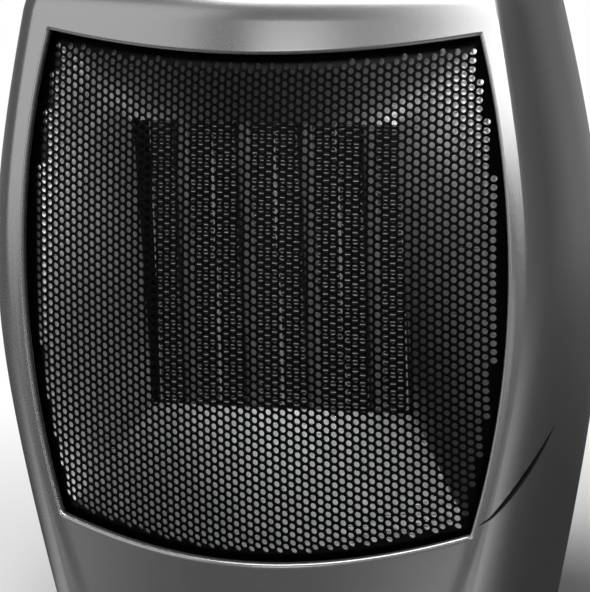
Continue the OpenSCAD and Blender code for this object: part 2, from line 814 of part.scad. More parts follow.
module motor_coil() {
    gap = 0.3;
    reach = 3.5;
    limb_z = window_z - stack_low;
    coil_w = core_w - 2 * limb - 2 * gap;
    color([0.7, 0.36, 0.16]) difference() {
        block(
            [-coil_w / 2, coil_w / 2],
            [stack_y - reach, stack_end + reach],
            [limb_z - reach, limb_z + limb + reach]);
        block(
            [-coil_w, coil_w],
            [stack_y - gap, stack_end + gap],
            [limb_z - gap, limb_z + limb + gap]);
    }
}

module bearing_plate(y, legs_y) {
    difference() {
        union() {
            block(
                [-core_w / 2, core_w / 2],
                [y, y + bearing_t],
                [window_z - bearing_boss_r, window_z + motor_screw_dz + screw_edge]);
            for (s = [-1, 1])
                rod_y(s * motor_screw_x, legs_y, window_z + motor_screw_dz, leg_r, bearing_reach + bite);
            rod_y(0, y, window_z, bearing_boss_r, bearing_t);
        }
        rod_y(0, y - past, window_z, shaft_r + run_gap, bearing_t + 2 * past);
        motor_screw_holes(y - far / 2, far, screw_r + run_gap);
    }
}

module bearing_plates() {
    color([0.66, 0.67, 0.69]) {
        bearing_plate(front_bearing_y, front_bearing_y + bearing_t - bite);
        bearing_plate(rear_bearing_y, stack_end);
    }
}

module motor_rotor() {
    color([0.6, 0.6, 0.62]) difference() {
        rod_y(0, stack_y, window_z, rotor_r, stack_t);
        rod_y(0, stack_y - past, window_z, shaft_r + run_gap, stack_t + 2 * past);
    }
}

module motor_shaft() {
    color([0.8, 0.8, 0.82])
        rod_y(0, hub_y + spider_gap, window_z, shaft_r, rear_bearing_y + bearing_t - hub_y);
}

module motor_screws() {
    tip_y = ring_end - spider_t;
    head_y = rear_bearing_y + bearing_t;
    color([0.75, 0.75, 0.77]) for (s = [-1, 1]) {
        rod_y(s * motor_screw_x, tip_y, window_z + motor_screw_dz, screw_r, head_y - tip_y + bite);
        rod_y(s * motor_screw_x, head_y, window_z + motor_screw_dz, head_r, head_h);
    }
}

// Rear intake: slotted insert in the casing's back, with a flange inside
module back_part(d, w, h) {
    intersection() {
        case_body(d, case_z);
        along_y(0, case_d) translate([0, intake_z]) centred(w, h);
    }
}

intake_in = 0.6;
intake_lap = 3;
intake_flange = 2;
slot_margin = 6;
mullion = 4;
module intake_grille() {
    slots = floor((intake_h - slot_margin) / slot_pitch);
    slot_w = intake_w / 2 - slot_margin - mullion / 2;
    color([0.1, 0.1, 0.1]) difference() {
        union() {
            back_part(intake_in, intake_w - 2 * fit, intake_h - 2 * fit);
            back_part(wall + fit, intake_w + 2 * intake_lap, intake_h + 2 * intake_lap);
        }
        case_body(wall + fit + intake_flange, case_z - past);
        for (i = [0 : slots - 1], s = [-1, 1])
            translate([s * (slot_w + mullion) / 2, 0, intake_z + (i - (slots - 1) / 2) * slot_pitch])
                block([-slot_w / 2, slot_w / 2], [0, case_d], [-slot_h / 2, slot_h / 2]);
    }
}

// Handle: a pocket behind the opening in the casing's back
pocket_y = back - pocket_d;
module handle_pocket() {
    w = pocket_w + 2 * pocket_t;
    h = pocket_h + 2 * pocket_t;
    color([0.1, 0.1, 0.1]) intersection() {
        difference() {
            along_y(pocket_y - pocket_t, case_d) translate([0, pocket_z]) centred(w, h);
            along_y(pocket_y, case_d) translate([0, pocket_z]) centred(pocket_w, pocket_h);
        }
        case_body(wall + fit, case_z);
    }
}

// Controls on the deck
tray_half = knob_span / 2;
floor_top = deck_z - tray_in;
floor_low = floor_top - tray_t;
module stadium(r) {
    square([2 * tray_half, 2 * r], center = true);
    for (s = [-1, 1]) translate([s * tray_half, 0]) circle(r);
}
module deck_hole() {
    translate([0, seam_y, deck_z - far / 8]) linear_extrude(far / 4) stadium(tray_r + fit);
}

module control_panel() {
    color([0.08, 0.08, 0.08]) translate([0, seam_y, 0]) difference() {
        union() {
            translate([0, 0, deck_z]) linear_extrude(flange_t) stadium(tray_r + flange_w);
            translate([0, 0, floor_low]) linear_extrude(deck_z - floor_low + bite) stadium(tray_r);
        }
        translate([0, 0, floor_top]) linear_extrude(far) stadium(tray_r - tray_t);
        for (s = [-1, 1])
            translate([s * tray_half, 0, floor_low - past]) cylinder(r = bush_r + fit, h = tray_t + 2 * past);
        translate([0, 0, floor_low - past]) cylinder(r = lens_r + fit, h = tray_t + 2 * past);
    }
}

knob_gap = 0.5;
knob_z = floor_top + knob_gap;
nut_t = 2;
nut_r = bush_r + 3.2;
spindle_in = 4;
spindle_top = knob_z + knob_h - spindle_in;
spindle_foot = floor_low - stat_h + spindle_in;
module knob(x) {
    translate([x, seam_y, knob_z]) difference() {
        union() {
            cylinder(r = knob_r, h = skirt_h);
            intersection() {
                translate([-grip_w / 2, -knob_r, 0]) cube([grip_w, 2 * knob_r, knob_h]);
                cylinder(r = knob_r - 1, h = knob_h);
            }
        }
        translate([0, 0, -past]) cylinder(r = nut_r + 0.8, h = nut_t + 1.5 + past);
        translate([0, 0, -past]) cylinder(r = spindle_r + run_gap, h = spindle_top - knob_z + fit + past);
    }
}
module spindle(x) rod_z(x, seam_y, spindle_foot, spindle_r, spindle_top - spindle_foot);

module thermostat_knob() color([0.1, 0.1, 0.1]) knob(-tray_half);
module mode_knob() color([0.1, 0.1, 0.1]) knob(tray_half);
module thermostat_spindle() color([0.78, 0.78, 0.8]) spindle(-tray_half);
module mode_spindle() color([0.78, 0.78, 0.8]) spindle(tray_half);

module control_body(x, w, d) {
    translate([x, seam_y, 0]) difference() {
        union() {
            translate([-w / 2, -d / 2, floor_low - stat_h]) cube([w, d, stat_h]);
            translate([0, 0, floor_low - bite]) cylinder(r = bush_r, h = tray_t + nut_t + bite);
        }
        translate([0, 0, spindle_foot - run_gap]) cylinder(r = spindle_r + run_gap, h = far);
    }
}
module thermostat_body() {
    color([0.35, 0.2, 0.12]) control_body(-tray_half, stat_w, stat_w * 0.8);
}
module mode_switch() {
    color([0.16, 0.16, 0.17]) control_body(tray_half, stat_w - 2, stat_w - 2);
}
module spindle_nuts() {
    color([0.75, 0.75, 0.77]) for (s = [-1, 1]) translate([s * tray_half, seam_y, floor_top])
        difference() {
            cylinder(r = nut_r, h = nut_t, $fn = 6);
            translate([0, 0, -past]) cylinder(r = bush_r + run_gap, h = nut_t + 2 * past);
        }
}

lens_flange = 1.4;
lens_flange_t = 1.5;
lens_proud = 0.6;
lamp_l = 11.2;
module indicator_lens() {
    color([0.9, 0.25, 0.08]) translate([0, seam_y, 0]) {
        translate([0, 0, floor_low - lens_flange_t]) cylinder(r = lens_r + lens_flange, h = lens_flange_t);
        translate([0, 0, floor_low - bite]) cylinder(r = lens_r, h = tray_t + bite + lens_proud);
    }
}
module indicator_lamp() {
    color([0.85, 0.8, 0.75])
        rod_z(0, seam_y, floor_low - lens_flange_t - fit - lamp_l, lens_r, lamp_l);
}

// Base: floor, rim, locating lip and the guide of the tip-over switch
guide_r = plunger_r + 2.2;
guide_wall = 1.5;
spring_room = 10.5;
guide_z = floor_z + plunger_travel + spring_room;
lip_t = 2;
lip_in = wall + fit + 0.1;
foot_places = [[46, -42], [-46, -42], [38, 36], [-38, 36]];
foot_in = 1;
head_proud = 0.2;

module base_pan() {
    color([0.08, 0.08, 0.08]) difference() {
        union() {
            difference() {
                union() {
                    translate([0, 0, base_z]) linear_extrude(base_h) polygon(outline(case_z, base_reveal));
                    translate([0, 0, base_z]) linear_extrude(base_h + lip_h) polygon(outline(case_z, lip_in));
                }
                translate([0, 0, floor_z]) linear_extrude(far) polygon(outline(case_z, lip_in + lip_t));
            }
            rod_z(0, -plunger_y, floor_z - bite, guide_r + guide_wall, guide_z - floor_z + bite);
        }
        rod_z(0, -plunger_y, floor_z, guide_r, far);
        rod_z(0, -plunger_y, 0, plunger_r + fit / 2, far);
        for (p = foot_places) rod_z(p[0], p[1], 0, foot_r + fit / 2, base_z + foot_in);
        for (side = [-1, 1], p = [base_front, base_rear]) {
            rod_z(side * p[0], p[1], 0, screw_r + fit, far);
            rod_z(side * p[0], p[1], 0, head_r + fit, base_z + head_h - head_proud);
        }
    }
}

module rubber_feet() {
    color([0.05, 0.05, 0.05]) for (p = foot_places) rod_z(p[0], p[1], 0, foot_r, base_z + foot_in);
}

stem_z = fit;
collar_z = floor_z + plunger_travel + fit;
collar_t = 2;
pin_r = 1.8;
pin_over = 4;
keeper_z = guide_z;
pin_top = keeper_z + pin_over;
module tip_plunger() {
    color([0.85, 0.85, 0.82]) {
        rod_z(0, -plunger_y, stem_z, plunger_r, collar_z - stem_z + bite);
        rod_z(0, -plunger_y, collar_z, guide_r - fit, collar_t);
        rod_z(0, -plunger_y, collar_z + collar_t - bite, pin_r, pin_top - collar_z - collar_t + bite);
    }
}
spring_gap = 0.1;
spring_play = 0.75;
module plunger_spring() {
    color([0.7, 0.7, 0.72]) difference() {
        rod_z(
            0, -plunger_y, collar_z + collar_t + spring_gap,
            guide_r - spring_play, keeper_z - collar_z - collar_t - 2 * spring_gap);
        rod_z(0, -plunger_y, collar_z + collar_t - past, pin_r + spring_play, keeper_z - collar_z);
    }
}

// Keeper plate on the guide, with the microswitch over the plunger's pin
keeper_t = 1.6;
lever_t = 0.8;
switch_z = pin_top + fit + lever_t;
switch_h = 10;
switch_d = 6.4;
switch_l = 20;
keeper_w = switch_l + 4;
lever_w = 4;
lever_l = 0.7 * switch_l;
lug_l = 5;
lug_d = 3;
module switch_bracket() {
    color([0.66, 0.67, 0.69]) difference() {
        union() {
            translate([-keeper_w / 2, -plunger_y - guide_r - guide_wall, keeper_z])
                cube([keeper_w, 2 * (guide_r + guide_wall), keeper_t]);
            translate([-keeper_w / 2, -plunger_y + guide_r, keeper_z])
                cube([keeper_w, guide_wall, switch_z + 0.9 * switch_h - keeper_z]);
        }
        rod_z(0, -plunger_y, keeper_z - past, pin_r + fit, keeper_t + 2 * past);
    }
}
module tip_switch() {
    color([0.12, 0.12, 0.13]) {
        translate([-switch_l / 2, -plunger_y + guide_r - switch_d, switch_z])
            cube([switch_l, switch_d, switch_h]);
        translate([-switch_l / 2, -plunger_y - lever_w / 2, switch_z - lever_t])
            cube([lever_l, lever_w, lever_t + bite]);
        for (k = [-1 : 1])
            translate([0.4 * k * switch_l - blade_t / 2, -plunger_y, switch_z + switch_h - bite])
                cube([blade_t, lug_d, lug_l]);
    }
}

block_y = 24;
block_d = 16;
block_h = 12;
pole_pitch = 12;
pole_r = 2.4;
pole_floor = 5;
module terminal_block() {
    color([0.85, 0.84, 0.8]) difference() {
        block(
            [-1.5 * pole_pitch, 1.5 * pole_pitch],
            [block_y, block_y + block_d],
            [floor_z, floor_z + block_h]);
        for (k = [-1 : 1])
            rod_z(k * pole_pitch, block_y + block_d / 2, floor_z + pole_floor, pole_r, block_h);
    }
}

gland_flange_r = gland_r + 2.5;
gland_flange_y = back_y(gland_flange_r, gland_z, wall) - fit;
gland_l = 7;
gland_y = back - wall - gland_l;
module cord_gland() {
    color([0.07, 0.07, 0.07]) difference() {
        union() {
            rod_y(0, gland_y + past, gland_z, gland_flange_r, gland_flange_y - gland_y - past);
            rod_y(0, gland_y, gland_z, gland_r, back - gland_y);
        }
        rod_y(0, 0, gland_z, cord_r, case_d);
    }
}

// Fasteners, each group in one node
module screw_y(x, y, z, l, way) {
    rod_y(x, way > 0 ? y : y - head_h, z, head_r, head_h);
    rod_y(x, way > 0 ? y - l : y - bite, z, screw_r, l + bite);
}
module seam_screws() {
    color([0.7, 0.7, 0.72]) for (x = [-seam_screw_x, seam_screw_x], z = seam_screw_z)
        screw_y(x, seam_head_y, z, seam_head_y - seam_y + front_boss_l - boss_end - 2 * past, 1);
}
module shroud_screws() {
    color([0.7, 0.7, 0.72]) for (x = [-post_x, post_x], z = [post_low_z, post_high_z])
        screw_y(x, plate_y + plate_t, z, post_bore_l, 1);
}
module base_screws() {
    color([0.7, 0.7, 0.72]) for (side = [-1, 1], p = [base_front, base_rear]) {
        rod_z(side * p[0], p[1], base_z - head_proud, head_r, head_h);
        rod_z(side * p[0], p[1], base_z, screw_r, base_screw_z);
    }
}

front_frame();
rear_shell();
base_pan();
rubber_feet();
control_panel();
mesh_grille();
duct_funnel();
element_frame();
heating_tubes();
fin_packs();
terminal_blades();
thermal_cutout();
thermal_fuse();
fan_shroud();
impeller();
motor_stack();
motor_coil();
bearing_plates();
motor_rotor();
motor_shaft();
motor_screws();
intake_grille();
handle_pocket();
thermostat_knob();
mode_knob();
thermostat_spindle();
mode_spindle();
thermostat_body();
mode_switch();
spindle_nuts();
indicator_lens();
indicator_lamp();
tip_plunger();
plunger_spring();
switch_bracket();
tip_switch();
terminal_block();
cord_gland();
seam_screws();
shroud_screws();
base_screws();
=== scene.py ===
# Visual model of a compact ceramic fan heater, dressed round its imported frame.
# Sizes are in millimetres unless a comment says otherwise, and mesh_piece turns them into metres.
import math

import bmesh
import bpy
from mathutils import Matrix, Vector


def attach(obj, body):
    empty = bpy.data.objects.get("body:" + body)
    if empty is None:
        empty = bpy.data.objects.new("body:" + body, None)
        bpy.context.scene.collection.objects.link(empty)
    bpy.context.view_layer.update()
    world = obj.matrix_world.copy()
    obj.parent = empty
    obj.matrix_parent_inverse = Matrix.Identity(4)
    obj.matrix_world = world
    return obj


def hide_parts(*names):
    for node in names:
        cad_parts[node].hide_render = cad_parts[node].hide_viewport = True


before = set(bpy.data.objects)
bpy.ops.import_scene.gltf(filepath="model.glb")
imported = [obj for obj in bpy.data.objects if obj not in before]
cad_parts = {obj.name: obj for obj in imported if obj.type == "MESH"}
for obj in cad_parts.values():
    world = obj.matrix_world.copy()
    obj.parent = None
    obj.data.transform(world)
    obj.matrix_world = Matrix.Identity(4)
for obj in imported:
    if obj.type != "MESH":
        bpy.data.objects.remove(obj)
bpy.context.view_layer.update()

# Camera
# The heater is seen from its right and a little above, close enough to fill the frame.
# Lengths here are in metres.
aim = Vector((-0.0003, -0.0219, 0.1201))
camera_azimuth = 20.84
camera_elevation = 11.11
camera_roll = -2.13
camera_distance = 1.32
camera_lens = 267.2


def facing(azimuth, elevation, roll=0.0):
    """Axes of a thing that looks back at its aim from that side: right, up and towards it."""
    a, e, r = (math.radians(angle) for angle in (azimuth, elevation, roll))
    toward = Vector((math.sin(a) * math.cos(e), -math.cos(a) * math.cos(e), math.sin(e)))
    level = Vector((math.cos(a), math.sin(a), 0))
    right = math.cos(r) * level + math.sin(r) * toward.cross(level)
    return right, toward.cross(right), toward


def place_at(thing, point, axes):
    """Puts a camera or lamp at a point, turned to those axes."""
    right, up, toward = axes
    thing.matrix_world = Matrix((
        (right.x, up.x, toward.x, point.x),
        (right.y, up.y, toward.y, point.y),
        (right.z, up.z, toward.z, point.z),
        (0, 0, 0, 1)))
    bpy.context.scene.collection.objects.link(thing)


camera = bpy.data.objects.new("camera", bpy.data.cameras.new("camera"))
camera.data.lens = camera_lens
camera.data.sensor_width = 36
camera.data.clip_end = 100
view_axes = facing(camera_azimuth, camera_elevation, camera_roll)
place_at(camera, aim + camera_distance * view_axes[2], view_axes)
bpy.context.scene.camera = camera
bpy.context.scene.view_settings.view_transform = "Standard"


# Floor and light
# A white floor runs out into a white room. A narrow softbox hangs close in front on the
# right, a small one low and further off, a broad one on the left and a wide one high up.
class Signal:
    """An output of a node. Sums and products of signals add the nodes that work them out."""

    def __init__(self, nodes, socket):
        self.nodes = nodes
        self.socket = socket

    def worked(self, operation, first, second):
        """What a Math node makes of two values."""
        return self.nodes.node("Math", {"operation": operation}, {0: first, 1: second})

    def __add__(self, other):
        return self.worked("ADD", self, other)

    def __sub__(self, other):
        return self.worked("SUBTRACT", self, other)

    def __rsub__(self, other):
        return self.worked("SUBTRACT", other, self)

    def __mul__(self, other):
        return self.worked("MULTIPLY", self, other)

    def __truediv__(self, other):
        return self.worked("DIVIDE", self, other)

    def __pow__(self, other):
        return self.worked("POWER", self, other)

    def clamped(self):
        """Kept between 0 and 1."""
        return self.nodes.node("Clamp", {}, {"Value": self})

    def rising(self, low, high):
        """0 up to low, then rising to 1 at high."""
        return ((self - low) / (high - low)).clamped()

    __radd__ = __add__
    __rmul__ = __mul__


class Nodes:
    """The node tree of a material or of the world."""

    def __init__(self, owner, shader):
        owner.use_nodes = True
        self.owner = owner
        self.tree = owner.node_tree
        self.shader = self.tree.nodes[shader]

    def node(self, kind, settings=None, inputs=None, output=0):
        """A new node with its settings, then its inputs. Gives the signal of one output."""
        node = self.tree.nodes.new("ShaderNode" + kind)
        for name, value in (settings or {}).items():
            setattr(node, name, value)
        self.feed(inputs or {}, node)
        return Signal(self, node.outputs[output])

    def feed(self, inputs, node=None):
        """Sets or links the inputs of a node, or of the shader."""
        for name, value in inputs.items():
            socket = (node or self.shader).inputs[name]
            if isinstance(value, Signal):
                self.tree.links.new(value.socket, socket)
            else:
                socket.default_value = value

    def place(self):
        """Where a point lies in its piece, in metres."""
        return self.node("TexCoord", output="Object")

    def noise(self, size, detail=2.0):
        """Noise whose patches are about that many millimetres across, from 0 to 1."""
        return self.node("TexNoise", {}, {
            "Vector": self.place(), "Scale": 1000.0 / size, "Detail": detail})

    def mixed(self, share, first, second):
        """A colour between two, by share."""
        return self.node("Mix", {"data_type": "RGBA"}, {0: share, 6: first, 7: second}, output=2)

    def relief(self, height, depth):
        """A bump of that depth in millimetres, where height runs from 0 to 1."""
        self.feed({"Normal": self.node("Bump", {}, {"Height": height, "Distance": depth / 1000.0})})


def finish(name):
    """Nodes of a new material."""
    return Nodes(bpy.data.materials.new(name), "Principled BSDF")


def grey(level):
    return (level, level, level, 1.0)


def seen_rays(nodes):
    """Whether a ray comes from the camera, off a glossy surface or through glass, as 1 or 0 each."""
    outputs = nodes.node("LightPath").socket.node.outputs
    kinds = ("Is Camera Ray", "Is Glossy Ray", "Is Transmission Ray")
    return [Signal(nodes, outputs[kind]) for kind in kinds]


# The room is white where it is seen. Levels of its light, where 1 is white: on dull
# surfaces, and in reflections of its front and of what is behind the heater. These are
# dim, so that the casing keeps its dark sides.
room_fill = 0.12
room_front = 0.1
room_back = 0.27
room_turn = (0.1, 0.9)
world = bpy.data.worlds.new("room")
bpy.context.scene.world = world
room = Nodes(world, "Background")
from_camera, from_gloss, from_glass = seen_rays(room)
backward = room.node("SeparateXYZ", {}, {0: room.node("TexCoord", output="Generated")}, output=1)
mirrored = room.mixed(backward.rising(*room_turn), grey(room_front), grey(room_back))
lit = room.mixed(from_gloss, grey(room_fill), mirrored)
room.feed({"Color": room.mixed((from_camera + from_glass).clamped(), lit, grey(1.0))})

floor_radius = 6.0
floor_sides = 96
floor_color = 0.9
floor_mesh = bpy.data.meshes.new("floor")
floor_form = bmesh.new()
bmesh.ops.create_circle(floor_form, cap_ends=True, radius=floor_radius, segments=floor_sides)
floor_form.to_mesh(floor_mesh)
floor_form.free()
floor = bpy.data.objects.new("floor", floor_mesh)
bpy.context.scene.collection.objects.link(floor)
floor_paint = finish("floor_paint")
floor_paint.feed({"Base Color": grey(floor_color), "Roughness": 0.9, "Specular IOR Level": 0.0})

# Seen from the camera, the floor turns from its own paint to plain white between two
# distances from its middle, in metres. Reflections see a painted glow instead: a painted dim
# reflection, lighter further out and behind the heater, with two painted pools of lamplight close by.
floor_fade = (0.12, 0.4)
floor_turn = (0.2, 1.0)
floor_near = 0.05
floor_front = 0.07
floor_behind = 0.24
painted_light_pools = ((38, 0.9), (-70, 0.75))
painted_pool_power = 16
floor_camera, floor_gloss, floor_glass = seen_rays(floor_paint)
way = floor_paint.node("VectorMath", {"operation": "NORMALIZE"}, {0: floor_paint.place()})
way_back = floor_paint.node("SeparateXYZ", {}, {0: way}, output=1)
from_middle = floor_paint.node(
    "VectorMath", {"operation": "LENGTH"}, {0: floor_paint.place()}, output="Value")
far_out = from_middle.rising(*floor_fade)
further_out = from_middle.rising(*floor_turn)
# Painted reflection: the glow that glossy rays see on the floor, with painted pools of lamplight
dim = floor_near + further_out * (floor_front + floor_behind * way_back.clamped())
for azimuth, level in painted_light_pools:
    toward_pool = floor_paint.node(
        "VectorMath", {"operation": "DOT_PRODUCT"}, {0: way, 1: facing(azimuth, 0)[2]}, output="Value")
    dim = dim + level * (1 - further_out) * toward_pool.clamped() ** painted_pool_power
painted_reflection_glow = floor_paint.node("Emission", {}, {"Color": floor_paint.mixed(floor_gloss, grey(1.0), dim)})
floor_output = floor_paint.tree.nodes["Material Output"]
floor_paint.feed({"Surface": floor_paint.node("MixShader", {}, {
    0: (far_out * (floor_camera + floor_glass) + floor_gloss).clamped(),
    1: Signal(floor_paint, floor_paint.shader.outputs[0]),
    2: painted_reflection_glow})}, floor_output)
floor_mesh.materials.append(floor_paint.owner)


def softbox(name, azimuth, elevation, distance, width, height, level, target=(0, 0, 0.12)):
    """A lamp that faces its target, with lengths in metres. Its level is its face's brightness,
    where 1 is white."""
    lamp = bpy.data.lights.new(name, "AREA")
    lamp.shape = "RECTANGLE"
    lamp.size = width
    lamp.size_y = height
    lamp.energy = level * math.pi * width * height
    thing = bpy.data.objects.new(name, lamp)
    axes = facing(azimuth, elevation)
    place_at(thing, Vector(target) + distance * axes[2], axes)
    thing.visible_camera = False


softbox("near_box", 13, 28.5, 0.7, 0.15, 0.57, 9.2, target=(0.07, -0.05, 0.17))
softbox("low_box", -12, 9, 1.7, 0.45, 0.5, 3.1)
softbox("left_box", -55, 17, 1.8, 1.5, 1.25, 1.3)
softbox("top_box", -11, 58, 1.6, 1.15, 0.5, 9.8)


# Front half of the casing
# Moulding in grey metallic resin, with a rolled edge round the grille opening, a crease at
# each side of its face and a slanting groove on its right. Its rim meets the rear half.
case_d = 138
case_half_w = 91.4
case_z = 11.3
deck_z = 222
deck_edge_r = 14
wall = 2.5
fit = 0.3
seam_y = 10
front = -case_d / 2
back = case_d / 2
edge_z = deck_z - deck_edge_r

# Its sides are widest at the waist. Behind the corners they follow half an ellipse.
waist_z = 130
side_slope = 0.262
side_round = 50
back_curve_y = -18

# Its face leans back above the foot and is bowed from side to side, less towards the top
lean_r = 780
upright_z = 45
bow_slope = 0.3
bow_mid = 44.6
bow_fade = 568
bow_z = 132

# A corner runs from the crease at the edge of the face to the flank
corner_w = 10
corner_fade = 0.03
corner_slope = 0.55
flank_lead = 16

# The opening's edge has four arcs, at its two sides, its foot and its brow
rail_w = 15.4
open_half_w = case_half_w - rail_w
open_mid_z = 135.5
open_side_r = 262
open_bottom_z = 49.3
open_bottom_r = 235
open_top_z = 197.7
open_brow_r = 460
corner_rounds = 12


def case_x(z):
    """Half the casing's width at a height."""
    return case_half_w - side_slope * (math.hypot(z - waist_z, side_round) - side_round)


def crease_x(z, d=0.0):
    """Where the face ends, on a skin that lies d inside the outer one."""
    return case_x(z) - corner_w + corner_fade * (z - waist_z) - d / 2


def face_y(x, z):
    """Depth of the bare bowed face."""
    lean = (z - upright_z) ** 2 / (2 * lean_r)
    bow = bow_slope * (1 - (z - bow_z) / bow_fade) * (math.hypot(x, bow_mid) - bow_mid)
    return front + lean + bow


def back_x(y, z, d):
    """Half width of the flank and back at depth y, on a skin that lies d inside."""
    return (case_x(z) - d) * math.sqrt(1 - ((y - back_curve_y) / (back - d - back_curve_y)) ** 2)


def back_y(x, z, d):
    """Depth of the back at x, on a skin that lies d inside."""
    return back_curve_y + (back - d - back_curve_y) * math.sqrt(1 - (x / (case_x(z) - d)) ** 2)


def corner_point(t, z, d):
    """A point of the corner's curve, with t from 0 at the crease to 1 at the flank."""
    start = Vector((crease_x(z, d), face_y(crease_x(z, d), z) + d))
    end = Vector((case_x(z) - d, back_curve_y))
    lead = start + (end.x - start.x) * Vector((1, corner_slope))
    turn = Vector((end.x, max(back_curve_y - flank_lead, lead.y)))
    s = 1 - t
    return s ** 3 * start + 3 * t * s ** 2 * lead + 3 * t ** 2 * s * turn + t ** 3 * end


# The face sinks softly along the lower half of the opening's sides, and on below them
sink_w = 3.6
sink_d = 0.6
sink_foot = (18, 48)
sink_head = (105, 170)


def smooth(low, high, value):
    """Eases from 0 at low to 1 at high."""
    t = min(max((value - low) / (high - low), 0), 1)
    return t * t * (3 - 2 * t)


def sunk(x, z):
    """How far the face lies behind its bare bow."""
    aside = math.hypot(abs(x) + open_side_r - open_half_w, z - open_mid_z) - open_side_r
    return sink_d * (1 - smooth(0, sink_w, aside)) * smooth(*sink_foot, z) * (1 - smooth(*sink_head, z))


def side_x(z, grow):
    """The opening's right side at a height, set out by grow."""
    return open_half_w - open_side_r + math.sqrt((open_side_r + grow) ** 2 - (z - open_mid_z) ** 2)


def bottom_z(x, grow):
    """The opening's foot at x, set out by grow."""
    return open_bottom_z + open_bottom_r - math.sqrt((open_bottom_r + grow) ** 2 - x * x)


def top_z(x, grow):
    """The opening's brow at x, set out by grow."""
    return open_top_z + open_brow_r - math.sqrt((open_brow_r - grow) ** 2 - x * x)


def opening(grow, steps):
    """The opening's edge, set out by grow, as its four sides from the lower right corner round."""
    # Its corners lie where two sides meet, which a few rounds find
    low = high = open_half_w
    for _ in range(corner_rounds):
        low = side_x(bottom_z(low, grow), grow)
        high = side_x(top_z(high, grow), grow)
    foot = bottom_z(low, grow)
    rise = top_z(high, grow) - foot
    shares = [i / steps for i in range(steps + 1)]
    right = [(side_x(foot + rise * s, grow), foot + rise * s) for s in shares]
    top = [(high * (1 - 2 * s), top_z(high * (1 - 2 * s), grow)) for s in shares]
    left = [(-x, z) for x, z in reversed(right)]
    bottom = [(low * (2 * s - 1), bottom_z(low * (2 * s - 1), grow)) for s in shares]
    return right, top, left, bottom


class Shell:
    """A wall with an outer and an inner skin. Each point of a patch is an outer and an inner
    point, patches meet where their outer points meet, and every free edge is closed."""

    def __init__(self):
        self.pairs = []
        self.found = {}
        self.faces = []

    def index(self, pair):
        """The pair's number, the same one wherever its outer point comes again."""
        key = tuple(round(c, 3) for c in pair[0])
        if key not in self.found:
            self.found[key] = len(self.pairs)
            self.pairs.append(pair)
        return self.found[key]

    def patch(self, rows):
        """Adds the faces between rows of pairs, all of one length."""
        numbers = [[self.index(pair) for pair in row] for row in rows]
        for first, second in zip(numbers, numbers[1:]):
            for a, b, c, d in zip(first, first[1:], second[1:], second):
                corners = tuple(dict.fromkeys((a, b, c, d)))
                if len(corners) > 2:
                    self.faces.append(corners)

    def solid(self):
        """Points and faces of both skins and of the free edges."""
        n = len(self.pairs)
        points = [p[0] for p in self.pairs] + [p[1] for p in self.pairs]
        faces = self.faces + [tuple(i + n for i in reversed(f)) for f in self.faces]
        uses = {}
        for face in self.faces:
            for a, b in zip(face, face[1:] + face[:1]):
                uses[frozenset((a, b))] = None if frozenset((a, b)) in uses else (a, b)
        faces += [(b, a, a + n, b + n) for a, b in filter(None, uses.values())]
        return points, faces


def mesh_piece(name, points, faces, nodes, sharp=40, shaded=True):
    """A piece from points in millimetres, with its faces turned outward."""
    mesh = bpy.data.meshes.new(name)
    mesh.from_pydata([Vector(p) / 1000 for p in points], [], faces)
    form = bmesh.new()
    form.from_mesh(mesh)
    bmesh.ops.recalc_face_normals(form, faces=form.faces)
    if form.calc_volume(signed=True) < 0:
        bmesh.ops.reverse_faces(form, faces=form.faces)
    form.to_mesh(mesh)
    form.free()
    mesh.materials.append(nodes.owner)
    piece = bpy.data.objects.new(name, mesh)
    bpy.context.scene.collection.objects.link(piece)
    if shaded:
        smooth_shade(piece, sharp)
    return piece


def smooth_shade(piece, sharp=40):
    """Shades a piece smooth, but for edges that turn by more than sharp degrees."""
    piece.data.shade_smooth()
    piece.data.set_sharp_from_angle(angle=math.radians(sharp))


def cut_away(piece, cutter, operation="DIFFERENCE", sharp=40):
    """Cuts piece with cutter, which goes away."""
    change = piece.modifiers.new("cut", "BOOLEAN")
    change.operation = operation
    change.solver = "EXACT"
    change.material_mode = "TRANSFER"
    change.object = cutter
    result = bpy.data.meshes.new_from_object(
        piece.evaluated_get(bpy.context.evaluated_depsgraph_get()))
    old = piece.data
    piece.modifiers.clear()
    piece.data = result
    bpy.data.meshes.remove(old)
    bpy.data.meshes.remove(cutter.data)
    smooth_shade(piece, sharp)


def joined(parts, name, nodes):
    """One piece out of several, which go away."""
    form = bmesh.new()
    for part in parts:
        form.from_mesh(part.data)
        bpy.data.meshes.remove(part.data)
    mesh = bpy.data.meshes.new(name)
    form.to_mesh(mesh)
    form.free()
    mesh.materials.append(nodes.owner)
    piece = bpy.data.objects.new(name, mesh)
    bpy.context.scene.collection.objects.link(piece)
    smooth_shade(piece)
    return piece


def stand_for(piece, nodes, body="root"):
    """Lets a piece ride a body, in place of the CAD's nodes."""
    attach(piece, body)
    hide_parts(*nodes)


def loft(rings, closed=False):
    """Points and faces of a body through rings that all have the same number of points. Its
    ends are capped, or closed joins the last ring to the first."""
    n = len(rings[0])
    points = [p for ring in rings for p in ring]
    spans = [(j, j + 1) for j in range(len(rings) - 1)]
    if closed:
        spans.append((len(rings) - 1, 0))
    faces = []
    for j, k in spans:
        for i in range(n):
            after = (i + 1) % n
            faces.append((j * n + i, j * n + after, k * n + after, k * n + i))
    if not closed:
        faces += [tuple(range(n)), tuple(range(len(points) - n, len(points)))]
    return points, faces


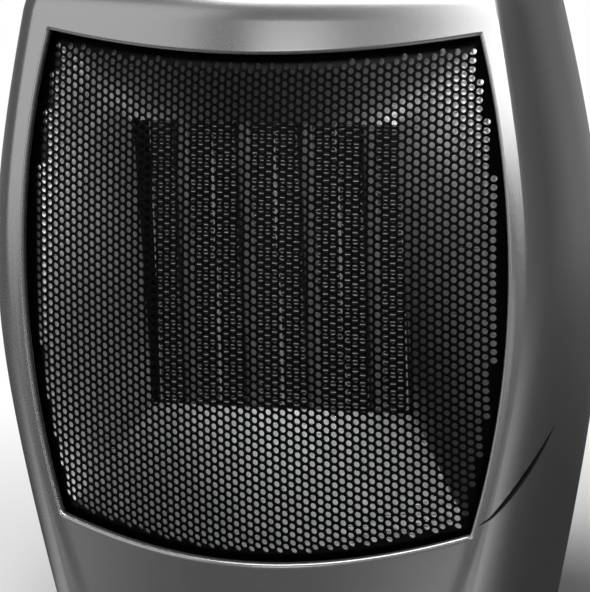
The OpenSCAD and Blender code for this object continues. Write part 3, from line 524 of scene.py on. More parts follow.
def casing_pair(u, z, lip=0.0, rise=0.0):
    """Outer and inner point of the casing at u, which is 0 to 1 over the face, 1 to 2 round the
    corner, and the level y past that as ("y", y). Past the straight sides, rise is the angle
    round the deck's edge. lip rounds the skin's edge inward by that much."""
    points = []
    for d, e in ((0.0, lip), (wall, 0.0)):
        r = deck_edge_r - d
        inset = d + r * (1 - math.cos(rise)) + e * math.cos(rise)
        level = z + (r - e) * math.sin(rise)
        if isinstance(u, tuple):
            side, y = u
            points.append(Vector((side * back_x(y, level, inset), y, level)))
        elif abs(u) <= 1:
            x = crease_x(level, inset) * u
            points.append(Vector((x, face_y(x, level) + inset + sunk(x, level), level)))
        else:
            point = corner_point(abs(u) - 1, level, inset)
            points.append(Vector((math.copysign(point.x, u), point.y, level)))
    return tuple(points)


# How finely each stretch of the skin is divided. The rows of the face crowd at the opening.
side_steps = 100
across_steps = 16
across_power = 1.35
corner_steps = 16
flank_steps = 12
edge_steps = 8

# Each edge along the parting line is rounded in three steps: how far it is from the line,
# and how far the skin has turned inward there
seam_edge = [(0.6, 0.0), (0.22, 0.09), (0.0, 0.35)]
foot_edge = 0.3
low_z = case_z + foot_edge
levels = [low_z + (edge_z - low_z) * i / side_steps for i in range(side_steps + 1)]
rises = [math.pi / 2 * i / edge_steps for i in range(edge_steps + 1)]

flank_l = seam_y - seam_edge[0][0] - back_curve_y
flank_ys = [back_curve_y + flank_l * i / flank_steps for i in range(1, flank_steps + 1)]


def outer_columns(side):
    """Columns from a crease to the parting line, each with how far its skin turns inward."""
    columns = [(side * (1 + i / corner_steps), 0.0) for i in range(corner_steps + 1)]
    columns += [((side, y), 0.0) for y in flank_ys]
    return columns + [((side, seam_y - gap), lip) for gap, lip in seam_edge[1:]]


front_columns = (
    list(reversed(outer_columns(-1)))
    + [(2 * i / side_steps - 1, 0.0) for i in range(1, side_steps)]
    + outer_columns(1))

front_case = Shell()
# Rolled edge of the opening, then the face from there to its creases, deck edge and foot
edge_r = 1.3
edge_rows = 5
rolls = []
for i in range(edge_rows + 1):
    angle = math.pi / 2 * (1 - i / edge_rows)
    grow = edge_r * (1 - math.sin(angle))
    sink = edge_r * (1 - math.cos(angle))
    rolls.append((opening(grow, side_steps), sink))
outer_sides = (
    [(1, z) for z in levels],
    [(1 - 2 * i / side_steps, edge_z) for i in range(side_steps + 1)],
    [(-1, z) for z in reversed(levels)],
    [(2 * i / side_steps - 1, low_z) for i in range(side_steps + 1)])
for number, outer_side in enumerate(outer_sides):
    rows = []
    for sides, sink in rolls:
        row = []
        for x, z in sides[number]:
            y = face_y(x, z) + sunk(x, z)
            row.append((Vector((x, y + sink, z)), Vector((x, face_y(x, z) + wall, z))))
        rows.append(row)
    edge_side = rolls[-1][0][number]
    for k in range(1, across_steps + 1):
        share = (k / across_steps) ** across_power
        row = []
        for (x, z), (u, outer_z) in zip(edge_side, outer_side):
            start_u = x / crease_x(z)
            row.append(casing_pair(start_u + (u - start_u) * share, z + (outer_z - z) * share))
        rows.append(row)
    front_case.patch(rows)
for side in (-1, 1):
    front_case.patch([[casing_pair(u, z, lip) for u, lip in outer_columns(side)] for z in levels])
front_case.patch([
    [casing_pair(u, low_z - drop, max(lip, drop)) for u, lip in front_columns]
    for drop in (foot_edge, 0.0)])
front_case.patch([
    [casing_pair(u, edge_z, lip, rise) for u, lip in front_columns] for rise in rises])

# The deck has a long round hole for the tray with the two knobs
knob_half = 30
tray_r = 21.7
deck_rows = 6


def stadium(radius, share):
    """Point on the front half of the long round outline round the knobs, from left to right."""
    quarter = math.pi / 2 * radius
    along = share * (2 * quarter + 2 * knob_half)
    if along < quarter:
        a = along / radius
        return Vector((-knob_half - radius * math.cos(a), seam_y - radius * math.sin(a)))
    if along < quarter + 2 * knob_half:
        return Vector((along - quarter - knob_half, seam_y - radius))
    a = (along - quarter - 2 * knob_half) / radius
    return Vector((knob_half + radius * math.sin(a), seam_y - radius * math.cos(a)))


def deck_patch(ring, behind=False):
    """The deck, from a ring at the end of its rounded edge to the hole. The rear half's ring
    runs the other way."""
    lengths = [0.0]
    for first, second in zip(ring, ring[1:]):
        lengths.append(lengths[-1] + (second[1] - first[1]).length)
    rows = []
    for k in range(deck_rows + 1):
        row = []
        for pair, length in zip(ring, lengths):
            share = length / lengths[-1]
            hole = stadium(tray_r + fit, 1 - share if behind else share)
            if behind:
                hole.y = 2 * seam_y - hole.y
            flat = [p.xy.lerp(hole, k / deck_rows) for p in pair]
            row.append(tuple(Vector((f.x, f.y, p.z)) for f, p in zip(flat, pair)))
        rows.append(row)
    return rows


front_case.patch(deck_patch(
    [casing_pair(u, edge_z, lip, math.pi / 2) for u, lip in front_columns]))

casing = finish("satin_grey_casing")
casing_grain = casing.noise(0.25, 0.0)
casing_cloud = casing.noise(28.0, 3.0)
casing.feed({
    "Metallic": 0.85,
    "Base Color": casing.mixed(casing_grain, grey(0.258), grey(0.276)),
    "Roughness": 0.215 + 0.05 * casing_cloud})
casing.relief(casing.noise(3.0, 1.0), 0.0008)

front_frame = mesh_piece("front_casing", *front_case.solid(), casing, sharp=50)

# Slanting groove low on the right corner, its faces painted near-black as painted shade. It runs
# out at both ends, where the cutter is narrow and stays above the skin.
groove_painted_shade = finish("groove_painted_shade")
groove_grain = groove_painted_shade.noise(0.5, 2.0)
groove_painted_shade.feed({
    "Base Color": groove_painted_shade.mixed(groove_grain, grey(0.015), grey(0.03)),
    "Roughness": 0.45 + 0.1 * groove_grain})
groove_z = (88.5, 61.0)
groove_u = (1.49, 0.955)
groove_w = 1.7
groove_d = 2.4
groove_tip_w = 0.12
groove_tip_over = 0.1
groove_swell = 0.7
groove_over = 1.5
groove_flare = 2.2
groove_taper = 0.8
groove_parts = 26


def groove_cutter():
    """A blade along the groove, which swells between its two tips."""
    centres = []
    for i in range(groove_parts + 1):
        t = i / groove_parts
        z = groove_z[0] + (groove_z[1] - groove_z[0]) * t
        centres.append(casing_pair(groove_u[0] + (groove_u[1] - groove_u[0]) * t, z))
    rings = []
    for i, (outer, inner) in enumerate(centres):
        along = (centres[min(i + 1, groove_parts)][0] - centres[max(i - 1, 0)][0]).normalized()
        out = (outer - inner).normalized()
        swell = math.sin(math.pi * (i / groove_parts)) ** groove_swell
        half = along.cross(out).normalized() * (groove_tip_w + groove_w * swell) / 2
        top = outer + out * groove_over
        bottom = outer - out * (groove_d * swell - groove_tip_over)
        rings.append([
            top - half * groove_flare, top + half * groove_flare, outer + half,
            bottom + half * groove_taper, bottom - half * groove_taper, outer - half])
    return mesh_piece("groove", *loft(rings), groove_painted_shade)


# The cutter's painted-shade finish passes to the groove's faces
cut_away(front_frame, groove_cutter(), sharp=50)
stand_for(front_frame, ["front_frame"])


# Front mesh
# Perforated steel sheet with black stove paint, bowed like the casing's face. Its edge
# turns back and lies behind the rim of the opening.
hole_pitch = 2.5
hole_r = 0.96
hole_sides = 12
sheet_t = 0.9
mesh_set = 1.7
turn_w = 7
turn_d = 3.2
# The holes start this far inside the opening's edge, and the sheet goes on behind the rim
field_in = 3
hidden_lap = 2.6


def inside_edge(x, z):
    """Distance from the opening's edge, positive inside the opening."""
    sides = open_side_r - math.hypot(abs(x) + open_side_r - open_half_w, z - open_mid_z)
    bottom = open_bottom_r - math.hypot(x, z - open_bottom_z - open_bottom_r)
    top = math.hypot(x, z - open_top_z - open_brow_r) - open_brow_r
    return min(sides, bottom, top)


def sheet_y(x, z):
    """Depth of the sheet's front, which turns back near its edge."""
    near = 1 - min(max(inside_edge(x, z) / turn_w, 0), 1)
    return face_y(x, z) + mesh_set + turn_d * near * near


# Each hole sits in a six-sided cell, with a point at each corner and at the middle of each side
column_gap = hole_pitch * math.sqrt(3) / 2
cell_r = hole_pitch / math.sqrt(3)
cell_side_r = cell_r * math.cos(math.pi / 6)
mesh_points = []
mesh_found = {}
mesh_faces = []


def sheet_ring(cx, cz, reaches, depth):
    """Numbers of the points round a cell's middle, at each reach in turn."""
    numbers = []
    for k in range(hole_sides):
        a = math.radians(360 / hole_sides * k)
        reach = reaches[k % 2]
        x, z = cx + reach * math.cos(a), cz + reach * math.sin(a)
        key = (round(x, 3), round(z, 3), depth)
        if key not in mesh_found:
            mesh_found[key] = len(mesh_points)
            mesh_points.append((x, sheet_y(x, z) + depth, z))
        numbers.append(mesh_found[key])
    return numbers


border = {}
columns_out = math.ceil((open_half_w + hidden_lap) / column_gap)
rows_out = math.ceil((open_top_z - open_bottom_z) / hole_pitch)
for i in range(-columns_out, columns_out + 1):
    for j in range(-rows_out, rows_out + 1):
        cx = i * column_gap
        cz = open_mid_z + (j + i % 2 / 2) * hole_pitch
        inside = inside_edge(cx, cz)
        if inside < -hidden_lap:
            continue
        front_rim, back_rim = (
            sheet_ring(cx, cz, (cell_r, cell_side_r), depth) for depth in (0.0, sheet_t))
        if inside >= field_in:
            front_ring, back_ring = (
                sheet_ring(cx, cz, (hole_r, hole_r), depth) for depth in (0.0, sheet_t))
            loops = (front_rim, front_ring, back_ring, back_rim)
            for a in range(hole_sides):
                b = (a + 1) % hole_sides
                for near, far in zip(loops, loops[1:]):
                    mesh_faces.append((near[a], near[b], far[b], far[a]))
        else:
            mesh_faces.append(tuple(front_rim))
            mesh_faces.append(tuple(reversed(back_rim)))
        # A side that no neighbour shares is an edge of the sheet and is closed there
        for a in range(hole_sides):
            b = (a + 1) % hole_sides
            side = frozenset((front_rim[a], front_rim[b]))
            if side in border:
                del border[side]
            else:
                border[side] = (front_rim[a], back_rim[a], back_rim[b], front_rim[b])
mesh_faces += border.values()

mesh_paint = finish("black_stove_paint")
mesh_speck = mesh_paint.noise(0.4, 3.0)
mesh_paint.feed({
    "Base Color": mesh_paint.mixed(mesh_speck, grey(0.0004), grey(0.0012)),
    "Specular IOR Level": 0.04,
    "Roughness": 0.3 + 0.1 * mesh_speck})
mesh_paint.relief(mesh_speck, 0.012)
mesh_sheet = mesh_piece("perforated_mesh", mesh_points, mesh_faces, mesh_paint, sharp=35)
stand_for(mesh_sheet, ["mesh_grille"])


# Funnel
# Bright sheet, folded from four curved panels, that leads from the mesh to the square
# window in front of the element. It is held between the rim of the mesh and the window.
window_w = 83.2
window_h = 87.5
window_z = 132.7
window_set = 29.7
window_y = front + window_set
window_lean = 0.075
funnel_t = 1.2
funnel_in = 1.2
mesh_rim_t = 1
funnel_gap = wall + fit + mesh_rim_t + fit
funnel_steps = 24
funnel_rows = 10
window_x = window_w / 2
window_low = window_z - window_h / 2
window_high = window_z + window_h / 2


def window_front(z):
    """Depth of the window's front, which leans back with height."""
    return window_y - window_lean * (z - window_z)


def window_sides(steps):
    """The window's edge, as its four sides in the order of the opening's."""
    shares = [i / steps for i in range(steps + 1)]
    return (
        [(window_x, window_low + window_h * s) for s in shares],
        [(window_x * (1 - 2 * s), window_high) for s in shares],
        [(-window_x, window_high - window_h * s) for s in shares],
        [(window_x * (2 * s - 1), window_low) for s in shares])


funnel = Shell()
for rim_side, window_side in zip(opening(-funnel_in, funnel_steps), window_sides(funnel_steps)):
    rows = []
    for k in range(funnel_rows + 1):
        row = []
        for (rim_x, rim_z), (end_x, end_z) in zip(rim_side, window_side):
            rim = Vector((rim_x, face_y(rim_x, rim_z) + funnel_gap, rim_z))
            end = Vector((end_x, window_front(end_z) - funnel_t - 2 * fit, end_z))
            point = rim.lerp(end, k / funnel_rows)
            row.append((point, point + Vector((0, funnel_t, 0))))
        rows.append(row)
    funnel.patch(rows)

duct_sheet = finish("bright_duct_sheet")
duct_grain = duct_sheet.node("Mapping", {}, {"Vector": duct_sheet.place(), "Scale": (1.0, 1.0, 14.0)})
duct_streak = duct_sheet.node("TexNoise", {}, {"Vector": duct_grain, "Scale": 160.0, "Detail": 4.0})
duct_cloud = duct_sheet.noise(18.0, 2.0)
duct_sheet.feed({
    "Metallic": 1.0,
    "Base Color": duct_sheet.mixed(duct_cloud, grey(0.88), grey(0.95)),
    "Roughness": 0.22 + 0.1 * duct_streak + 0.05 * duct_cloud})
duct_sheet.relief(duct_streak, 0.008)
duct_funnel = mesh_piece("bright_funnel", *funnel.solid(), duct_sheet, sharp=14)
stand_for(duct_funnel, ["duct_funnel"])


# Heating element
# Four flat alloy tubes hold the ceramic heaters, with corrugated foil brazed to both sides
# of each tube and a thin bright strip outside of it. All sit in a black resin frame.
tube_n = 4
tube_pitch = 19.8
tube_w = 5
tube_d = 14
fin_w = 7
fin_d = 16
strip_gap = 0.1
strip_t = (tube_pitch - tube_w - strip_gap) / 2 - fin_w
strip_proud = 0.2
fin_clear = 0.75
fin_h = window_h - 2 * fin_clear
surround_t = 3.5
fin_y = window_y + surround_t + fit
fin_mid_y = fin_y + fin_d / 2
tube_over = 3.5
tube_l = fin_h + 2 * tube_over
tube_corner_r = 1.1
tube_bevel_l = 0.4
tube_bevel_w = 0.35
foil_t = 0.3
foil_clear = 0.12
run_gap = 1.1
fold_l = 0.35
fold_share = 0.3


def tube_x(i):
    """Middle of a tube, counted from the left."""
    return (i - (tube_n - 1) / 2) * tube_pitch


def rounded(w, h, r, steps=4):
    """Outline of a rectangle with round corners, from the lower right corner round."""
    outline = []
    for corner, (sx, sy) in enumerate(((1, -1), (1, 1), (-1, 1), (-1, -1))):
        for k in range(steps + 1):
            a = math.radians(90 * (corner - 1) + 90 * k / steps)
            outline.append((sx * (w / 2 - r) + r * math.cos(a), sy * (h / 2 - r) + r * math.sin(a)))
    return outline


class Group:
    """Points and faces of several forms that make one piece."""

    def __init__(self):
        self.points = []
        self.faces = []

    def add(self, points, faces):
        base = len(self.points)
        self.points += points
        self.faces += [tuple(base + k for k in face) for face in faces]


def foil(start, side):
    """Foil folded up and down from a tube's side, one thin closed band."""
    runs = round(fin_h / run_gap)
    gap = fin_h / runs
    bend = fold_share * gap
    ends = (start + foil_clear, start + fin_w - foil_clear)
    line = []
    for k in range(runs + 1):
        z = window_z - fin_h / 2 + k * gap
        near, away = ends if k % 2 == 0 else reversed(ends)
        fold = math.copysign(fold_l, away - near)
        line += [(near, z - bend if k else z), (near + fold, z), (away - fold, z), (away, z + bend)]
    line = line[:-1]
    points = []
    for x, z in line:
        for depth in (0, fin_d):
            for offset in (-foil_t / 2, foil_t / 2):
                points.append((side * x, fin_y + depth, z + offset))
    faces = []
    for a in range(0, len(points) - 4, 4):
        b = a + 4
        faces += [
            (a, b, b + 1, a + 1), (a + 2, a + 3, b + 3, b + 2),
            (a, a + 2, b + 2, b), (a + 1, b + 1, b + 3, a + 3)]
    last = len(points) - 4
    faces += [(0, 1, 3, 2), (last, last + 2, last + 3, last + 1)]
    return points, faces


def box(x, y, z):
    """A box between two values of each axis."""
    points = [(a, b, c) for a in x for b in y for c in z]
    return points, [(0, 1, 3, 2), (4, 6, 7, 5), (0, 4, 5, 1), (2, 3, 7, 6), (0, 2, 6, 4), (1, 5, 7, 3)]


fin_set = Group()
for i in range(tube_n):
    for side in (-1, 1):
        fin_set.add(*foil(side * tube_x(i) + tube_w / 2, side))
        strip_x = tube_x(i) + side * (tube_w / 2 + fin_w)
        fin_set.add(*box(
            sorted((strip_x, strip_x + side * strip_t)), (fin_y - strip_proud, fin_y + fin_d),
            (window_z - fin_h / 2, window_z + fin_h / 2)))

fin_alloy = finish("bright_foil")
fin_cloud = fin_alloy.noise(6.0, 3.0)
# The foil is painted as a lit and a shaded copy of one alloy: bright at its front edge as a painted
# highlight, darker behind it as painted shade between the folds. The finish changes just behind its front.
shade_start = 0.1
shade_fade = 0.1
fin_depth = fin_alloy.node("SeparateXYZ", {}, {0: fin_alloy.place()}, output=1) * 1000
lit_front_share = 1 - fin_depth.rising(fin_y + shade_start, fin_y + shade_start + shade_fade)
fin_alloy.feed({
    "Metallic": 1.0,
    "Base Color": fin_alloy.mixed(
        lit_front_share, fin_alloy.mixed(fin_cloud, grey(0.25), grey(0.38)), grey(0.95)),
    "Roughness": 0.5 + 0.15 * fin_cloud})
fin_alloy.relief(fin_alloy.noise(0.8, 2.0), 0.02)
fins = mesh_piece("fin_foil", fin_set.points, fin_set.faces, fin_alloy, sharp=30)
stand_for(fins, ["fin_packs"])

tube_ends = (
    (-tube_l / 2, tube_bevel_w), (-tube_l / 2 + tube_bevel_l, 0),
    (tube_l / 2 - tube_bevel_l, 0), (tube_l / 2, tube_bevel_w))
tube_set = Group()
for i in range(tube_n):
    rings = []
    for height, thin in tube_ends:
        rings.append([
            (tube_x(i) + x, fin_mid_y + y, window_z + height)
            for x, y in rounded(tube_w - 2 * thin, tube_d - 2 * thin, tube_corner_r)])
    tube_set.add(*loft(rings))
tube_alloy = finish("drawn_alloy")
tube_grain = tube_alloy.node("Mapping", {}, {"Vector": tube_alloy.place(), "Scale": (40.0, 40.0, 1.0)})
tube_line = tube_alloy.node("TexNoise", {}, {"Vector": tube_grain, "Scale": 60.0, "Detail": 3.0})
tube_alloy.feed({
    "Metallic": 1.0,
    "Base Color": tube_alloy.mixed(tube_line, grey(0.4), grey(0.58)),
    "Roughness": 0.3 + 0.12 * tube_line})
tube_alloy.relief(tube_line, 0.01)
tubes = mesh_piece("heating_tubes_drawn", tube_set.points, tube_set.faces, tube_alloy, sharp=35)
stand_for(tubes, ["heating_tubes"])


def dress(names, nodes):
    """Gives CAD nodes a finish."""
    for name in names:
        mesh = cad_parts[name].data
        mesh.materials.clear()
        mesh.materials.append(nodes.owner)


frame_resin = finish("heat_resisting_resin")
resin_grain = frame_resin.noise(0.5, 3.0)
frame_resin.feed({
    "Base Color": frame_resin.mixed(resin_grain, grey(0.008), grey(0.02)),
    "Specular IOR Level": 0.3,
    "Roughness": 0.5 + 0.15 * resin_grain})
frame_resin.relief(resin_grain, 0.02)
dress(["element_frame"], frame_resin)


# Rear half of the casing
# The same grey moulding as the front half, with openings for the intake, the grip and the
# cord's gland. Four screws in deep wells draw the two halves together.
rear_steps = 72


def rear_pair(column, z, rise=0.0):
    """Outer and inner point of the rear half: column is (side, y, lip) near the parting line
    and a share, from 0 to 1, round the back."""
    if isinstance(column, tuple):
        side, y, lip = column
        return casing_pair((side, y), z, lip, rise)
    points = []
    for d in (0.0, wall):
        r = deck_edge_r - d
        inset = d + r * (1 - math.cos(rise))
        level = z + r * math.sin(rise)
        depth = back - inset - back_curve_y
        start = math.asin((seam_y + seam_edge[0][0] - back_curve_y) / depth)
        a = start + (math.pi - 2 * start) * column
        points.append(Vector((
            (case_x(level) - inset) * math.cos(a), back_curve_y + depth * math.sin(a), level)))
    return tuple(points)


rear_columns = (
    [(1, seam_y + gap, lip) for gap, lip in reversed(seam_edge[1:])]
    + [i / rear_steps for i in range(rear_steps + 1)]
    + [(-1, seam_y + gap, lip) for gap, lip in seam_edge[1:]])
rear_case = Shell()
rear_case.patch([[rear_pair(c, z) for c in rear_columns] for z in levels])
foot_drop = Vector((0, 0, foot_edge))
low_row = [rear_pair(c, low_z) for c in rear_columns]
foot_row = [(outer.lerp(inner, foot_edge / wall) - foot_drop, inner - foot_drop) for outer, inner in low_row]
rear_case.patch([foot_row, low_row])
rear_case.patch([[rear_pair(c, edge_z, rise) for c in rear_columns] for rise in rises])
rear_case.patch(deck_patch([rear_pair(c, edge_z, math.pi / 2) for c in rear_columns], behind=True))
rear_shell = mesh_piece("rear_casing", *rear_case.solid(), casing, sharp=50)

intake_w = 104
intake_h = 88
intake_z = 125
intake_r = 2
pocket_w = 84
pocket_h = 24
pocket_z = 191
pocket_r = 5
pocket_lip = 1.4
pocket_steps = 8
gland_r = 6
gland_z = 32
head_r = 3
seam_screws = [(x, z) for x in (-60, 60) for z in (60, 190)]
intake_lip = 0.8
hole_lip = 0.5
round_steps = 40

# A cutter rounds the edge of its hole by a lip. Its rings give their depth below the surface
# and how far they are set out, as shares of the lip.
cutter_rings = ((0.12, 0.5), (0.4, 0.14), (1, 0))
cutter_flare = 1.02
cutter_proud = 0.06
cutter_outer_y = back + 2
cutter_inner_y = 30


def flared_cutter(outline, centre, lip, d=0.0):
    """A cutter through the back whose rounded edge follows the surface at d. outline takes how
    far it is set out and gives points in X and Z."""
    cx, cz = centre
    wide = cutter_flare * lip
    rings = [[(cx + x, cutter_outer_y, cz + z) for x, z in outline(wide)]]
    steps = [(-cutter_proud, wide)] + [(depth * lip, grow * lip) for depth, grow in cutter_rings]
    for depth, grow in steps:
        rings.append([(cx + x, back_y(cx + x, cz + z, d) - depth, cz + z) for x, z in outline(grow)])
    rings.append([(cx + x, cutter_inner_y, cz + z) for x, z in outline(0)])
    return mesh_piece("cutter", *loft(rings), casing)


def round_outline(radius):
    """The outline of a round hole."""
    angles = [2 * math.pi * k / round_steps for k in range(round_steps)]

    def outline(grow):
        return [((radius + grow) * math.cos(a), (radius + grow) * math.sin(a)) for a in angles]

    return outline


def box_outline(w, h, r, steps=4):
    """The outline of a hole with four sides and round corners."""
    return lambda grow: rounded(w + 2 * grow, h + 2 * grow, r + grow, steps)


rear_cutters = [
    flared_cutter(box_outline(intake_w, intake_h, intake_r), (0, intake_z), intake_lip),
    flared_cutter(box_outline(pocket_w, pocket_h, pocket_r, pocket_steps), (0, pocket_z), pocket_lip),
    flared_cutter(round_outline(gland_r + fit), (0, gland_z), hole_lip)]
for place in seam_screws:
    rear_cutters.append(flared_cutter(round_outline(head_r + fit), place, hole_lip))
cut_away(rear_shell, joined(rear_cutters, "rear_cutters", casing), sharp=50)


def revolve(profile, foot, axis, steps=48, closed=False):
    """A turned body: profile is (radius, height) from its foot up, along an axis. closed joins
    the profile's ends, for a ring."""
    turn = Vector(axis).to_track_quat("Z", "Y").to_matrix()
    angles = [2 * math.pi * k / steps for k in range(steps)]
    rings = []
    for radius, height in profile:
        rings.append([
            Vector(foot) + turn @ Vector((radius * math.cos(a), radius * math.sin(a), height))
            for a in angles])
    return loft(rings, closed=closed)


# Wells of the seam screws: tubes inside the rear half that end at the heads
well_l = 6
well_r = 4.5
screw_hole_r = 1.8
seam_head_y = seam_y + well_l
well_set = Group()
for x, z in seam_screws:
    mouth = back_y(abs(x) + well_r, z, wall / 2) - seam_y
    well_set.add(*revolve([
        (screw_hole_r, 0), (well_r, 0), (well_r, mouth), (head_r + fit, mouth),
        (head_r + fit, well_l), (screw_hole_r, well_l)],
        (x, seam_y, z), (0, 1, 0), closed=True))
wells = mesh_piece("screw_wells", well_set.points, well_set.faces, casing)
stand_for(rear_shell, ["rear_shell"])
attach(wells, "root")


# Rear intake
# Black moulded insert with two columns of slots, where the fan draws its air. It follows
# the curve of the back and is snapped into the casing from inside.
intake_in = 0.6
intake_clear = 0.25
intake_edge_r = 1.8
slat_t = 3.4
slot_pitch = 8
slot_h = 4.2
slot_r = slot_h / 2 - 0.1
slot_lip = 0.9
slot_margin = 6
slot_steps = 5
mullion = 4
slab_over = 2
slab_cols = 40
slab_rows = 30


def intake_slab():
    """A curved slab, a little larger than the opening."""
    slab = Shell()
    w = intake_w + 2 * slab_over
    h = intake_h + 2 * slab_over
    rows = []
    for j in range(slab_rows + 1):
        z = intake_z + h * (j / slab_rows - 0.5)
        xs = [w * (i / slab_cols - 0.5) for i in range(slab_cols + 1)]
        rows.append([
            tuple(Vector((x, back_y(x, z, intake_in + d), z)) for d in (0, slat_t)) for x in xs])
    slab.patch(rows)
    return slab.solid()


black_plastic = finish("grained_black_plastic")
plastic_grain = black_plastic.node("TexVoronoi", {"feature": "SMOOTH_F1"}, {
    "Vector": black_plastic.place(), "Scale": 1500.0})
plastic_cloud = black_plastic.noise(15.0, 3.0)
black_plastic.feed({
    "Base Color": black_plastic.mixed(plastic_cloud, grey(0.012), grey(0.02)),
    "Specular IOR Level": 0.4,
    "Roughness": 0.42 + 0.12 * plastic_cloud})
black_plastic.relief(plastic_grain, 0.03)

intake = mesh_piece("intake_slats", *intake_slab(), black_plastic)
intake_edge = flared_cutter(
    lambda grow: rounded(intake_w - 2 * intake_clear, intake_h - 2 * intake_clear, intake_edge_r),
    (0, intake_z), intake_lip)
cut_away(intake, intake_edge, "INTERSECT")
slots = int((intake_h - slot_margin) // slot_pitch)
slot_w = intake_w / 2 - slot_margin - mullion / 2
slot_cutters = []
for i in range(slots):
    for side in (-1, 1):
        place = (side * (slot_w + mullion) / 2, intake_z + (i - (slots - 1) / 2) * slot_pitch)
        slot_cutters.append(flared_cutter(
            box_outline(slot_w, slot_h, slot_r, slot_steps), place, slot_lip, d=intake_in))
cut_away(intake, joined(slot_cutters, "slots", black_plastic))
stand_for(intake, ["intake_grille"])


# Grip
# A black moulded pocket behind the opening above the intake, deep enough for the fingers
# of a hand that lifts the heater. It is held against the inside of the back.
pocket_d = 30
pocket_t = 2
pocket_floor = back - pocket_d


def pocket_ring(grow, y=None):
    """A ring of the pocket at that depth, or else where it meets the inside of the back."""
    ring = []
    for x, z in rounded(pocket_w + 2 * grow, pocket_h + 2 * grow, pocket_r + grow, pocket_steps):
        ring.append((x, back_y(x, pocket_z + z, wall + fit) if y is None else y, pocket_z + z))
    return ring


# Its outside, its mouth, and its inside down to the rounded edge of its floor
pocket_rings = [
    pocket_ring(pocket_t, pocket_floor - pocket_t), pocket_ring(pocket_t), pocket_ring(0),
    pocket_ring(-0.2, pocket_floor + 3.2), pocket_ring(-1, pocket_floor + 1),
    pocket_ring(-3.2, pocket_floor)]
pocket = mesh_piece("grip_pocket", *loft(pocket_rings), black_plastic, sharp=50)
stand_for(pocket, ["handle_pocket"])


# Control panel and knobs
# A black tray let into the deck, with its flange on top. It carries two moulded knobs on
# their spindles, raised marks round them and an amber lens between them.
flange_w = 2.3
flange_t = 1.5
tray_t = 2
tray_deep = 3
floor_top = deck_z - tray_deep
floor_low = floor_top - tray_t
tray_steps = 96


def tray_ring(radius, z):
    """A long round ring, from the front part's left end round."""
    front_part = [stadium(radius, k / tray_steps) for k in range(tray_steps)]
    rear_part = [stadium(radius, 1 - k / tray_steps) for k in range(tray_steps)]
    return [(p.x, p.y, z) for p in front_part] + [(p.x, 2 * seam_y - p.y, z) for p in rear_part]


flange_r = tray_r + flange_w
flange_z = deck_z + flange_t
inner_r = tray_r - tray_t
panel_profile = [
    (tray_r, floor_low),
    (tray_r, deck_z + 0.02), (flange_r - 0.2, deck_z + 0.02), (flange_r, deck_z + 0.3),
    (flange_r - 0.1, flange_z - 0.5), (flange_r - 0.6, flange_z),
    (inner_r + 0.7, flange_z), (inner_r + 0.2, flange_z - 0.2), (inner_r, flange_z - 0.7),
    (inner_r, floor_top + 0.7), (inner_r - 0.2, floor_top + 0.2), (inner_r - 0.7, floor_top)]
panel_rings = [tray_ring(r, z) for r, z in panel_profile]
panel = mesh_piece("control_tray", *loft(panel_rings), black_plastic, sharp=50)
stand_for(panel, ["control_panel"])

print_white = finish("white_marks")
mark_cloud = print_white.noise(1.2, 2.0)
print_white.feed({
    "Base Color": print_white.mixed(mark_cloud, grey(0.72), grey(0.8)),
    "Roughness": 0.5 + 0.1 * mark_cloud})

# A knob has a skirt with a fluted edge and a bar across it that is gripped. The skirt's rings
# give how far each is drawn in, its height and how deep its flutes are there. The bar's give
# its height, and how much narrower and shorter than its foot it is.
knob_r = 16
knob_z = floor_top + 0.5
knob_h = 14.5
skirt_h = 5
flutes = 36
flute_steps = 6
flute_d = 0.3
skirt_rings = [(0, 0, 0.3), (0, 0.4, 1), (0, 3.4, 1), (0.5, 4.5, 0.6), (1.5, skirt_h, 0)]
bar_w = 9.7
bar_l = 2 * knob_r - 4
bar_corner_steps = 7
bar_rings = [
    (skirt_h - 0.4, 0, 0), (skirt_h + 0.5, 1.5, 0.6), (skirt_h + 1.6, 2.2, 1.2),
    (knob_h - 1.7, 2.9, 2.4), (knob_h - 0.6, 3.6, 3.2), (knob_h - 0.15, 5.2, 4.8)]
pointer_w = 1.2
pointer_t = 0.5
pointer_y = (5.2, 12.5)
dials = {"thermostat_knob": (-knob_half, "thermostat_dial"), "mode_knob": (knob_half, "mode_dial")}


def knob_form(cx):
    """Points and faces of a knob's skirt and bar."""
    knob = Group()
    rings = []
    for inset, height, share in skirt_rings:
        ring = []
        for k in range(flutes * flute_steps):
            a = 2 * math.pi * k / (flutes * flute_steps)
            r = knob_r - inset - flute_d * share * (0.5 + 0.5 * math.cos(flutes * a))
            ring.append((cx + r * math.cos(a), seam_y + r * math.sin(a), knob_z + height))
        rings.append(ring)
    knob.add(*loft(rings))
    rings = []
    for height, narrower, shorter in bar_rings:
        w = bar_w - narrower
        outline = rounded(w, bar_l - shorter, w / 2 - 0.2, bar_corner_steps)
        rings.append([(cx + x, seam_y + y, knob_z + height) for x, y in outline])
    knob.add(*loft(rings))
    return knob.points, knob.faces


for name, (cx, body) in dials.items():
    knob = mesh_piece(name + "_moulded", *knob_form(cx), black_plastic)
    stand_for(knob, [name], body)
    line = mesh_piece(name + "_pointer", *box(
        (cx - pointer_w / 2, cx + pointer_w / 2),
        (seam_y - knob_r + pointer_y[0], seam_y - knob_r + pointer_y[1]),
        (knob_z + knob_h - pointer_t, knob_z + knob_h)), print_white)
    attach(line, body)

# Raised marks on the tray: a scale whose lines grow round one knob, and the other's stops
mark_in = 16.7
mark_out = 18.9
mark_h = 0.16
mark_sunk = 0.05
mark_w = 0.5
scale_marks = 28
scale_step = 10
scale_in = 18
scale_growth = 0.035
scale_w = 0.4
stop_marks = 4
stop_step = 45
stop_w = 0.7
mark_set = Group()


